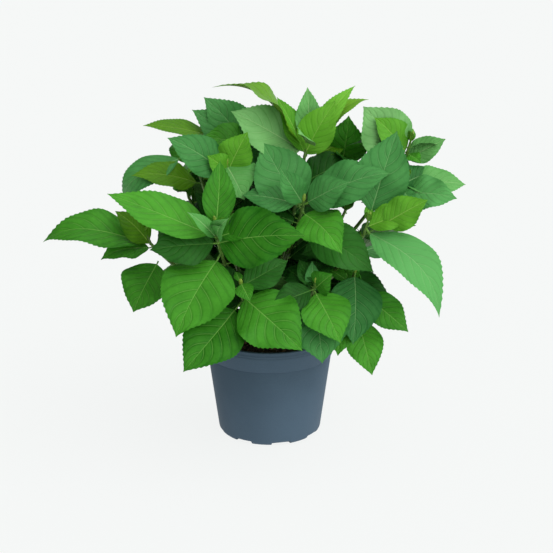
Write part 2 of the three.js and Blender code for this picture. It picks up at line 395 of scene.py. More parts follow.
@dataclass(frozen=True)
class LeafMarkings:
    """The markings of a leaf: midrib, curved side veins, quilting between them and soft blotches.

    The leaf's own map runs from stalk to tip in x and from edge to edge in y. A second map gives the
    distance from the midrib in centimetres in x, and the leaf's tone in y, partly its own and partly
    painted light and shade. Heights are those of the quilting, the netting and the channel along the
    midrib, and shares are those of the blotches, the tone, the quilting and the fine grain in how light
    the leaf is. The quilting's share is painted shade and painted light: darker in the grooves along
    the veins, lighter on the bulges between them.
    """

    lean: tuple[float, float] = (0.25, 0.08)
    crowding: float = 0.86
    stagger: float = 0.4
    whole_turns: float = 20.0
    vein_width: float = 0.11
    vein_fade: tuple[float, float] = (0.3, 0.95)
    rib_reach: tuple[float, float] = (-0.2, 1.0)
    rib_widths: tuple[float, float] = (0.085, 0.015)
    rib_shown: float = 0.7
    channel_width: float = 0.32
    quilt_width: float = 0.55
    quilt_fade: tuple[float, float, float, float] = (0.7, 1.0, 1.0, 0.4)
    net_scale: float = 420.0
    net_width: float = 0.12
    heights: tuple[float, float, float] = (0.8, 0.07, 0.6)
    blotch_scale: float = 34.0
    fine_scale: float = 240.0
    shares: tuple[float, float, float, float] = (0.6, 0.9, 0.22, 0.25)
    quilt_middle: float = 0.7
    darker: float = 0.27
    dull: tuple[float, float, float, float] = (0.2, 0.8, 0.42, 0.56)

    def group(self) -> bpy.types.NodeTree:
        """Lay the nodes.

        Returns:
            The node group.
        """
        inputs = [(label, COLOUR) for label in ("Blade", "Shade", "Vein")]
        inputs += [(label, FLOAT) for label in ("Veins Shown", "Vein Pairs")]
        wires, given, made = new_group(
            "leaf_markings", inputs, [("Color", COLOUR), ("Height", FLOAT), ("Roughness", FLOAT)]
        )
        along, across, _ = wires.parts(wires.node("ShaderNodeUVMap", uv_map="leaf").outputs[0])
        span, tone, _ = wires.parts(wires.node("ShaderNodeUVMap", uv_map="span").outputs[0])
        off_rib, out = wires.sum("ABSOLUTE", span), wires.sum("ABSOLUTE", across)
        squared = wires.sum("POWER", out, 2.0)
        lean = wires.plus(wires.times(out, self.lean[0]), wires.times(squared, self.lean[1]))
        crowded = wires.sum("POWER", along, self.crowding)
        step = wires.times(wires.less(crowded, lean), given.outputs["Vein Pairs"])
        stagger = wires.times(wires.sum("GREATER_THAN", across, 0.0), self.stagger)
        turn = wires.sum("FRACT", wires.plus(wires.plus(step, stagger), self.whole_turns))
        apart = wires.times(wires.sum("ABSOLUTE", wires.less(turn, 0.5)), 2.0)
        vein = wires.times(
            wires.ease(apart, 0.0, self.vein_width, 1.0, 0.0), wires.ease(out, *self.vein_fade, 1.0, 0.0)
        )
        rib = wires.sum("LESS_THAN", off_rib, wires.ease(along, *self.rib_reach, *self.rib_widths))
        channel = wires.ease(off_rib, 0.0, self.channel_width, 1.0, 0.0)
        quilt = wires.times(wires.ease(apart, 0.0, self.quilt_width), wires.ease(out, *self.quilt_fade))
        place = wires.node("ShaderNodeTexCoord").outputs["Object"]
        net = wires.node("ShaderNodeTexVoronoi", feature="DISTANCE_TO_EDGE")
        wires.feed(net.inputs["Vector"], place)
        net.inputs["Scale"].default_value = self.net_scale
        netting = wires.ease(net.outputs[0], 0.0, self.net_width)
        height = wires.plus(wires.times(quilt, self.heights[0]), wires.times(netting, self.heights[1]))
        height = wires.less(height, wires.times(channel, self.heights[2]))
        blotch = wires.noise(place, self.blotch_scale, 4.0)
        fine = wires.noise(place, self.fine_scale, 2.0)
        # The tone lightens or darkens the whole leaf: partly its own tone, partly painted light and shade.
        light = wires.plus(wires.times(blotch, self.shares[0]), wires.times(tone, self.shares[1]))
        # Painted shade and painted light: the quilting darkens the grooves along the veins and lightens the
        # bulges between them.
        light = wires.plus(light, wires.times(wires.less(quilt, self.quilt_middle), self.shares[2]))
        light = wires.plus(light, wires.times(wires.less(fine, 0.5), self.shares[3]))
        light = wires.sum("SUBTRACT", light, self.darker, clamp=True)
        colour = wires.blend(light, given.outputs["Shade"], given.outputs["Blade"])
        colour = wires.blend(wires.times(vein, given.outputs["Veins Shown"]), colour, given.outputs["Vein"])
        colour = wires.blend(wires.times(rib, self.rib_shown), colour, given.outputs["Vein"])
        wires.feed(made.inputs["Color"], colour)
        wires.feed(made.inputs["Height"], height)
        wires.feed(made.inputs["Roughness"], wires.ease(blotch, *self.dull))
        return wires.tree


def grain() -> bpy.types.NodeTree:
    """A two-scale grain that pot, potting mix, bark and stems share.

    Returns:
        The node group. Stretch draws the grain out along z.
    """
    inputs = [("Light", COLOUR), ("Dark", COLOUR)]
    inputs += [(label, FLOAT) for label in ("Coarse", "Fine", "Stretch", "Fine Share")]
    wires, given, made = new_group("grain", inputs, [("Color", COLOUR), ("Height", FLOAT), ("Mask", FLOAT)])
    place = wires.parts(wires.node("ShaderNodeTexCoord").outputs["Object"])
    drawn = wires.node("ShaderNodeCombineXYZ")
    wires.feed(drawn.inputs[0], place[0])
    wires.feed(drawn.inputs[1], place[1])
    wires.feed(drawn.inputs[2], wires.times(place[2], given.outputs["Stretch"]))
    coarse = wires.noise(drawn.outputs[0], given.outputs["Coarse"], 4.0)
    fine = wires.noise(drawn.outputs[0], given.outputs["Fine"], 2.0)
    share = given.outputs["Fine Share"]
    mixed = wires.plus(wires.times(coarse, wires.less(1.0, share)), wires.times(fine, share))
    mask = wires.ease(mixed, *GRAIN_RANGE)
    wires.feed(made.inputs["Color"], wires.blend(mask, given.outputs["Dark"], given.outputs["Light"]))
    wires.feed(made.inputs["Height"], mixed)
    wires.feed(made.inputs["Mask"], mask)
    return wires.tree


def dressed(
    name: str,
    group: bpy.types.NodeTree,
    values: dict[str, object],
    relief: tuple[float, float],
    specular: float,
    inward: bool = False,
) -> tuple[bpy.types.Material, bpy.types.Node, bpy.types.Node]:
    """Make a material that takes its colour and its relief from a shared group.

    Args:
        name: The material's name.
        group: The shared group.
        values: The group's own inputs by name, a colour without its alpha.
        relief: The strength and the depth of the relief.
        specular: The shader's specular level.
        inward: Whether the relief is turned over.

    Returns:
        The material, its shader and its group node.
    """
    material = bpy.data.materials.new(name)
    material.use_nodes = True
    wires = Wiring(material.node_tree)
    shader = material.node_tree.nodes["Principled BSDF"]
    pattern = wires.node("ShaderNodeGroup", node_tree=group)
    for label, value in values.items():
        pattern.inputs[label].default_value = (*value, 1.0) if isinstance(value, tuple) else value
    bump = wires.node("ShaderNodeBump", invert=inward)
    bump.inputs["Strength"].default_value, bump.inputs["Distance"].default_value = relief
    wires.feed(bump.inputs["Height"], pattern.outputs["Height"])
    wires.feed(shader.inputs["Base Color"], pattern.outputs["Color"])
    wires.feed(shader.inputs["Normal"], bump.outputs[0])
    shader.inputs["Specular IOR Level"].default_value = specular
    return material, shader, pattern


@dataclass(frozen=True)
class Finish:
    """A grained finish: pot plastic, potting mix, bark or stem.

    Coarse and fine are the grain's two scales, bump is the depth of its relief, and stretch under 1
    draws it out along z.
    """

    name: str
    light: Colour
    dark: Colour
    coarse: float
    fine: float
    roughness: float
    bump: float
    stretch: float = 1.0
    fine_share: float = 0.5
    specular: float = 0.5
    strength: float = 0.6

    def dress(self, group: bpy.types.NodeTree) -> bpy.types.Material:
        """Make the material.

        Args:
            group: The shared grain group.

        Returns:
            The material.
        """
        values = {
            "Light": self.light, "Dark": self.dark, "Coarse": self.coarse, "Fine": self.fine,
            "Stretch": self.stretch, "Fine Share": self.fine_share,
        }
        material, shader, _ = dressed(self.name, group, values, (self.strength, self.bump), self.specular)
        shader.inputs["Roughness"].default_value = self.roughness
        return material


class Tint(Enum):
    """The tints of leaf on the shrub, some of them painted shade and light: blade, shade and vein colours of
    the upper side.
    """

    FRESH = ((0.095, 0.42, 0.030), (0.010, 0.120, 0.002), (0.22, 0.50, 0.09))
    COOL = ((0.105, 0.39, 0.095), (0.015, 0.130, 0.020), (0.23, 0.48, 0.17))
    PALE = ((0.240, 0.54, 0.180), (0.100, 0.36, 0.075), (0.38, 0.62, 0.26))
    YOUNG = ((0.160, 0.47, 0.034), (0.056, 0.27, 0.010), (0.32, 0.58, 0.10))
    # Painted shade: the dark green of leaves in shade inside the crown and behind other leaves.
    DEEP = ((0.038, 0.20, 0.022), (0.005, 0.055, 0.003), (0.10, 0.28, 0.05))
    # Painted shade and painted light: the brown-olive of leaves in shade and of leaves with light shining
    # through them.
    OLIVE = ((0.130, 0.34, 0.012), (0.035, 0.145, 0.002), (0.25, 0.44, 0.06))


@dataclass(frozen=True)
class LeafFinish:
    """The upper or under side of one tint of leaf; a side has its veins' strength and specular level."""

    tint: Tint
    under: bool
    upper_side: tuple[float, float] = (0.5, 0.14)
    under_side: tuple[float, float] = (0.55, 0.1)
    vein_pairs: float = 7.5
    relief: tuple[float, float] = (0.5, 1.0 * MM)

    @staticmethod
    def paler(colour: Colour) -> Colour:
        """The dull, paler colour of a leaf's underside: partly its own, partly painted light shining through
        the leaf.
        """
        return (colour[0] * 1.05 + 0.02, colour[1] * 0.85 + 0.025, colour[2] * 0.9 + 0.012)

    def dress(self, group: bpy.types.NodeTree) -> bpy.types.Material:
        """Make the material.

        Args:
            group: The shared leaf markings.

        Returns:
            The material.
        """
        blade, shade, vein = (self.paler(c) if self.under else c for c in self.tint.value)
        side, shown, specular = ("under", *self.under_side) if self.under else ("upper", *self.upper_side)
        values = {"Blade": blade, "Shade": shade, "Vein": vein}
        values |= {"Veins Shown": shown, "Vein Pairs": self.vein_pairs}
        material, shader, pattern = dressed(
            f"leaf_{self.tint.name.lower()}_{side}", group, values, self.relief, specular, self.under
        )
        Wiring(material.node_tree).feed(shader.inputs["Roughness"], pattern.outputs["Roughness"])
        return material


POT_PLASTIC = Finish(
    "pot_plastic", (0.075, 0.120, 0.168), (0.057, 0.093, 0.132), 7.0, 900.0, 0.6, 0.12 * MM,
    fine_share=0.35, specular=0.12,
)
MIX_CRUMB = Finish(
    "potting_mix_surface", (0.05, 0.03, 0.022), (0.008, 0.005, 0.004), 130.0, 700.0, 0.95, 2.0 * MM,
    specular=0.2,
)
MIX_CHIP = Finish(
    "potting_mix_chips", (0.16, 0.095, 0.05), (0.022, 0.012, 0.008), 90.0, 600.0, 0.9, 0.8 * MM, specular=0.25
)
BARK = Finish(
    "woody_bark", (0.21, 0.155, 0.085), (0.05, 0.032, 0.018), 170.0, 900.0, 0.85, 0.9 * MM, stretch=0.12
)
GREEN_STEM = Finish(
    "green_stem", (0.13, 0.27, 0.035), (0.045, 0.11, 0.010), 120.0, 800.0, 0.5, 0.3 * MM, stretch=0.15
)
LEAF_STALK = Finish(
    "leaf_stalk", (0.17, 0.38, 0.045), (0.07, 0.22, 0.015), 150.0, 900.0, 0.5, 0.2 * MM, stretch=0.3
)
BUD_SCALE = Finish("bud_scale", (0.30, 0.46, 0.05), (0.14, 0.26, 0.02), 260.0, 900.0, 0.5, 0.3 * MM)


LeafFinishes = dict[tuple[Tint, bool], bpy.types.Material]


# ---------------------------------------------------------------- pot and potting mix


@dataclass(frozen=True)
class Pot:
    """The round nursery pot: a turned shell with a lip, a rim band and notches round its foot."""

    steps: int = 144
    lip_depth: float = 3.4 * MM
    lip_proud: float = 1.6 * MM
    lip_round: float = 1.1 * MM
    lip_steps: int = 4
    band_drop: float = 33.0 * MM
    band_step: float = 1.5 * MM
    band_slope: float = 2.4 * MM
    groove: float = 1.3 * MM
    groove_lead: float = 0.4 * MM
    groove_rises: tuple[float, float, float, float] = (-3.0 * MM, -0.9 * MM, 0.5 * MM, 1.5 * MM)
    wall_foot: float = 20.0 * MM
    foot_round: float = 9.0 * MM
    foot_sweep: tuple[float, float] = (-90.0, 78.0)
    foot_steps: int = 7
    wall: float = 2.2 * MM
    inner_edge: tuple[float, float] = (0.6 * MM, 1.0 * MM)
    floor: float = 3.0 * MM
    ring_drops: tuple[float, ...] = (7.5 * MM, 11.0 * MM)
    ring_proud: float = 0.28 * MM
    ring_rises: tuple[float, float, float] = (-1.1 * MM, -0.5 * MM, 0.6 * MM)
    notches: int = 8
    notch_width: float = 30.0 * MM
    notch_height: float = 6.5 * MM
    notch_inner: float = 66.0 * MM
    notch_round: float = 1.2 * MM
    notch_turn: float = -76.5
    sharp_edge: float = 38.0

    def profile(self, radius: float, height: float) -> list[tuple[float, float]]:
        """Points of the wall's section, from the middle of the underside round to the inner floor.

        Args:
            radius: The lip's outer radius.
            height: The pot's height.

        Returns:
            Pairs of radius and height.
        """
        foot = radius - self.wall_foot
        band_base = height - self.band_drop
        top = radius - self.lip_proud
        under_band = top - self.band_slope
        points = [(0.0, 0.0)]
        first, sweep = self.foot_sweep
        for i in range(self.foot_steps + 1):
            turn = math.radians(first + sweep * i / self.foot_steps)
            inwards, upwards = 1 - math.cos(turn), 1 + math.sin(turn)
            points.append((foot - self.foot_round * inwards, self.foot_round * upwards))
        below, under, step, over = (band_base + rise for rise in self.groove_rises)
        points += [(under_band - self.groove_lead, below), (under_band - self.groove, under)]
        points += [(under_band - self.groove, band_base), (under_band + 0.5 * self.band_step, step)]
        points += [(under_band + self.band_step, over)]
        for drop in sorted(self.ring_drops, reverse=True):
            ring = height - drop
            base = under_band + self.band_step
            base += (top - base) * (ring - band_base) / self.band_drop
            low, start, end = (ring + rise for rise in self.ring_rises)
            proud = base + self.ring_proud
            points += [(base, low), (proud, start), (proud, ring), (base, end)]
        points.append((top, height - self.lip_depth))
        middle = height - self.lip_depth / 2
        for i in range(self.lip_steps + 1):
            turn = math.radians(-90 + 180 * i / self.lip_steps)
            out = radius - self.lip_round + self.lip_round * math.cos(turn)
            points.append((out, middle + self.lip_depth / 2 * math.sin(turn)))
        inset, drop = self.inner_edge
        points += [(top - self.wall, height), (top - self.wall - inset, height - drop)]
        points += [(under_band - self.wall, band_base), (foot - self.wall, self.foot_round)]
        points += [(foot - self.foot_round, self.floor), (0.0, self.floor)]
        return points

    def build(self, finish: bpy.types.Material) -> None:
        """Turn the shell, cut its notches and dress it.

        Args:
            finish: The plastic.
        """
        low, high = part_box("pot")
        radius, height = (high.x - low.x) / 2, high.z - low.z
        body = new_object("pot_body", turned(self.profile(radius, height), self.steps))
        cutter = new_object("pot_cutter", self.notch_blocks(radius))
        cut = body.modifiers.new("notches", "BOOLEAN")
        cut.operation, cut.solver, cut.object = "DIFFERENCE", "EXACT", cutter
        bpy.context.view_layer.update()
        shell = bmesh.new()
        shell.from_object(body, bpy.context.evaluated_depsgraph_get())
        for scrap in (body, cutter):
            bpy.data.objects.remove(scrap)
        for face in shell.faces:
            face.smooth = True
        sharp = math.radians(self.sharp_edge)
        for edge in shell.edges:
            edge.smooth = len(edge.link_faces) == 2 and edge.calc_face_angle(0.0) < sharp
        finish_piece("pot_shell", shell, [finish], "pot_plastic", ["pot"])

    def notch_blocks(self, radius: float) -> bmesh.types.BMesh:
        """The blocks that cut the drainage notches, with rounded edges.

        Args:
            radius: The lip's outer radius.

        Returns:
            Their shape.
        """
        blocks = bmesh.new()
        reach = radius - self.notch_inner
        for i in range(self.notches):
            turn = Matrix.Rotation(math.radians(self.notch_turn + 360 * i / self.notches), 4, "Z")
            size = Matrix.Diagonal((reach, self.notch_width, 2 * self.notch_height, 1.0))
            out = Matrix.Translation((self.notch_inner + reach / 2, 0, 0))
            bmesh.ops.create_cube(blocks, size=1.0, matrix=turn @ out @ size)
        bmesh.ops.bevel(
            blocks, geom=list(blocks.edges), offset=self.notch_round, segments=2, profile=0.5, affect="EDGES",
            material=-1,
        )
        return blocks


@dataclass(frozen=True)
class PottingMix:
    """The dark, crumbly fill of the pot, with loose chips lying on it."""

    rings: int = 22
    steps: int = 96
    dome: float = 3.0 * MM
    edge_drop: float = 4.0 * MM
    foot_shares: tuple[float, float] = (0.78, 0.86)
    foot_rise: float = 12.0 * MM
    lumps: float = 3.2 * MM
    lump_depths: tuple[float, float] = (0.4, 2.1)
    lump_scales: tuple[float, float] = (55.0, 190.0)
    lump_shares: tuple[float, float] = (0.6, 0.4)
    chips: int = 190
    chip_sizes: tuple[float, float] = (1.1 * MM, 3.4 * MM)
    chip_spread: float = 0.96
    chip_lengths: tuple[float, float] = (0.9, 2.4)
    chip_depths: tuple[float, float] = (0.35, 0.8)
    chip_lift: float = 0.2
    even_edge: float = 0.99

    def lift(self, x: float, y: float) -> float:
        """How far the surface stands above or below its even dome at a place."""
        layers = zip(self.lump_depths, self.lump_scales, self.lump_shares)
        return self.lumps * sum(noise.noise(Vector((x, y, z)) * scale) * part for z, scale, part in layers)

    def build(self, surface: bpy.types.Material, chip: bpy.types.Material) -> None:
        """Make the fill and its chips.

        Args:
            surface: The finish of the fill.
            chip: The finish of the chips.
        """
        low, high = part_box("potting_mix")
        radius = (high.x - low.x) / 2
        edge_top = high.z - self.edge_drop
        near, far = (radius * share for share in self.foot_shares)
        section = [(0.0, low.z), (near, low.z), (far, low.z + self.foot_rise)]
        section.append((radius, edge_top - self.edge_drop))
        for i in range(self.rings + 1):
            share = i / self.rings
            section.append((radius * (1 - share), edge_top + self.dome * share))
        fill = turned(section, self.steps)
        for vert in fill.verts:
            if vert.co.z > edge_top - MM and vert.co.xy.length < radius * self.even_edge:
                vert.co.z = min(vert.co.z + self.lift(vert.co.x, vert.co.y), high.z + MM)
        for face in fill.faces:
            face.smooth = True
        finish_piece("potting_mix_fill", fill, [surface], "potting_mix", ["potting_mix"])
        finish_piece("potting_mix_crumbs", self.crumbs(radius, edge_top), [chip], "potting_mix")

    def crumbs(self, radius: float, edge_top: float) -> bmesh.types.BMesh:
        """The loose chips on the fill.

        Args:
            radius: The fill's radius.
            edge_top: The height of its edge.

        Returns:
            Their joined shape.
        """
        dice = random.Random(SEED)
        chips = bmesh.new()
        for _ in range(self.chips):
            reach = radius * self.chip_spread * math.sqrt(dice.random())
            turn = dice.uniform(0, math.tau)
            x, y = reach * math.cos(turn), reach * math.sin(turn)
            size = dice.uniform(*self.chip_sizes)
            z = edge_top + self.dome * (1 - reach / radius) + self.lift(x, y) + self.chip_lift * size
            spin = dice.uniform(0, math.tau)
            axis = heading(dice.uniform(0, 360), dice.uniform(-90, 90))
            pose = Matrix.Translation((x, y, z)) @ Matrix.Rotation(spin, 4, axis)
            length, depth = dice.uniform(*self.chip_lengths), dice.uniform(*self.chip_depths)
            pose = pose @ Matrix.Diagonal((size * length, size, size * depth, 1.0))
            bmesh.ops.create_icosphere(chips, subdivisions=1, radius=1.0, matrix=pose)
        return chips


# ---------------------------------------------------------------- canes and boughs


@dataclass(frozen=True)
class Cane:
    """One woody cane, and the way it leans on each axis from its foot to its fork."""

    node: str
    lean: tuple[int, int]
    foot_sunk: float = 8.0 * MM
    fork_sunk: float = 2.0 * MM
    steps: int = 24

    def path(self, fork_radius: float, foot_radius: float) -> list[Vector]:
        """The centre line from just inside the mix up to the fork, read from the node's box.

        Args:
            fork_radius: The cane's radius at its fork.
            foot_radius: Its radius at its foot.

        Returns:
            Its points, from the foot up.
        """
        low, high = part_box(self.node)
        foot, fork = Vector((0, 0, low.z - self.foot_sunk)), Vector((0, 0, high.z - self.fork_sunk))
        for axis, way in enumerate(self.lean):
            near, far = (low[axis], high[axis]) if way > 0 else (high[axis], low[axis])
            foot[axis] = near + way * foot_radius
            fork[axis] = far - way * fork_radius
        bend = Vector((foot.x, foot.y, (foot.z + fork.z) / 2))
        return [curve_point(foot, bend, fork, i / self.steps) for i in range(self.steps + 1)]


CANES = (
    Cane("cane_left", (-1, -1)),
    Cane("cane_right", (1, -1)),
    Cane("cane_middle", (1, -1)),
    Cane("cane_back_left", (-1, 1)),
    Cane("cane_back_right", (1, 1)),
)


@dataclass(frozen=True)
class Bark:
    """The relief of a limb: lengthwise ridges, swellings where old leaves stood, and a flare at its foot."""

    foot_radius: float
    tip_radius: float
    sides: int
    ridges: int
    ridge_depth: float
    joints: int
    joint_swell: float
    joint_length: float = 0.16
    flare: float = 0.0
    flare_length: float = 26.0
    rough_share: float = 1.3
    rough_round: float = 1.6
    rough_along: float = 17.0
    wander: float = 1.4
    wander_along: float = 5.0
    twist: float = 3.0
    joint_shift: float = 0.37

    def radius_at(self, seed: float) -> Callable[[float, float], float]:
        """The radius rule of one limb.

        Args:
            seed: A number that sets this limb's ridges apart.

        Returns:
            A function of the share of the length and the angle.
        """
        return lambda share, angle: self.radius(seed, share, angle)

    def radius(self, seed: float, share: float, angle: float) -> float:
        """The radius of a limb at a place on its skin.

        Args:
            seed: The limb's own number.
            share: The share of its length.
            angle: The angle round it.

        Returns:
            The radius.
        """
        even = self.foot_radius + (self.tip_radius - self.foot_radius) * share
        wander = self.wander * noise.noise(Vector((share * self.wander_along, seed, 0.0)))
        ridge = self.ridge_depth * math.sin(self.ridges * angle + wander * self.twist)
        across, deep = (part * self.rough_round for part in (math.cos(angle), math.sin(angle)))
        skin = Vector((across, deep, share * self.rough_along + seed))
        rough = self.rough_share * self.ridge_depth * noise.noise(skin)
        beat = abs((share * self.joints + self.joint_shift * seed) % 1.0 - 0.5) * 2
        swell = self.joint_swell * math.exp(-((beat / self.joint_length) ** 2))
        return even * (1 + ridge + rough + swell + self.flare * math.exp(-share * self.flare_length))


CANE_BARK = Bark(5.0 * MM, 3.7 * MM, 18, 5, 0.07, 3, 0.2, flare=0.28)
BOUGH_BARK = Bark(3.3 * MM, 2.2 * MM, 12, 4, 0.03, 4, 0.22)


# ---------------------------------------------------------------- shoots and leaves


FRONT = -90.0
FRESH, COOL, PALE, YOUNG, DEEP, OLIVE = Tint


@dataclass(frozen=True)
class Pair:
    """A pair of opposite leaves: the turn of the first, then the rise and reach of each.

    Width is a part of the blade's length. Tilt is how far the upper side leans from straight up
    towards face, both in degrees; with no face it leans away from the pot's axis. Arch is a part of
    the length, fold the rise of each half. Skew turns the second leaf off the first one's line. A
    tone runs from 0, its tint's shade, to 1; given tones are partly the leaf's own and partly painted
    light and shade, lighter for leaves that catch the light and darker for leaves in shade. A stalk
    is a part of the reach, and at is the joint's height on the stem in millimetres. A pair with tones
    keeps them and its stalks as they stand.
    """

    turn: float
    rises: tuple[float, float]
    reaches: tuple[float, float]
    tint: Tint = Tint.FRESH
    widths: tuple[float, float] = (0.6, 0.6)
    tilts: tuple[float, float] = (30.0, 30.0)
    arches: tuple[float, float] = (0.07, 0.07)
    folds: tuple[float, float] = (12.0, 12.0)
    face: float | None = FRONT
    second: Tint | None = None
    skew: float = 0.0
    tones: tuple[float, float] | None = None
    stalks: tuple[float, float] = (0.06, 0.1)
    at: float | None = None


@dataclass(frozen=True)
class Shoot:
    """One leafy shoot: its seat in its mass's box, as a share of each side, and its named pairs."""

    name: str
    seat: tuple[float, float, float]
    pairs: tuple[Pair, ...]
    tint: Tint = Tint.FRESH
    inner: int = 3
    young: int = 2
    young_reach: float = 46.0

    def seat_point(self) -> Vector:
        """The point where the bough ends and the leaves spread, read from the mass's box."""
        return place_in(*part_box(f"leaves_{self.name}"), self.seat)


# The later pairs of a far shoot: the skew from its heading, both rises, both parts of its reach,
# the tint, the tilts, and the joint's height on the stem.
FAR_PAIRS: tuple[tuple, ...] = (
    (-6, -24, 54, 1.04, 0.62, FRESH, (38, 20), None),
    (44, 14, 24, 0.84, 0.6, COOL, (50, 30), None),
    (-48, 22, 30, 0.78, 0.55, FRESH, (50, 30), None),
    (18, -10, 40, 0.86, 0.5, FRESH, (46, 30), -18),
)


def far_shoot(
    name: str, seat: tuple[float, float, float], turn: float, reach: float, droop: float = 0.0
) -> Shoot:
    """A shoot of the far side: one pair across its heading, one along it, and three between.

    Args:
        name: The mass's plain name.
        seat: Its seat, as a share of the mass's box.
        turn: Its heading from the pot's axis, in degrees.
        reach: The reach of its longest leaves, in millimetres.
        droop: How far its leaves hang below the usual rise, in degrees.

    Returns:
        The shoot.
    """
    return Shoot(
        name,
        seat,
        (
            Pair(turn + 84, (6 - droop, 2 - droop), (reach, 0.92 * reach), tilts=(44, 44), face=None),
            *(
                Pair(turn + skew, (rise - droop, other_rise), (share * reach, other_share * reach), tint,
                     (0.66, 0.6), tilts, face=None, at=at)
                for skew, rise, other_rise, share, other_share, tint, tilts, at in FAR_PAIRS
            ),
        ),
        inner=8,
    )
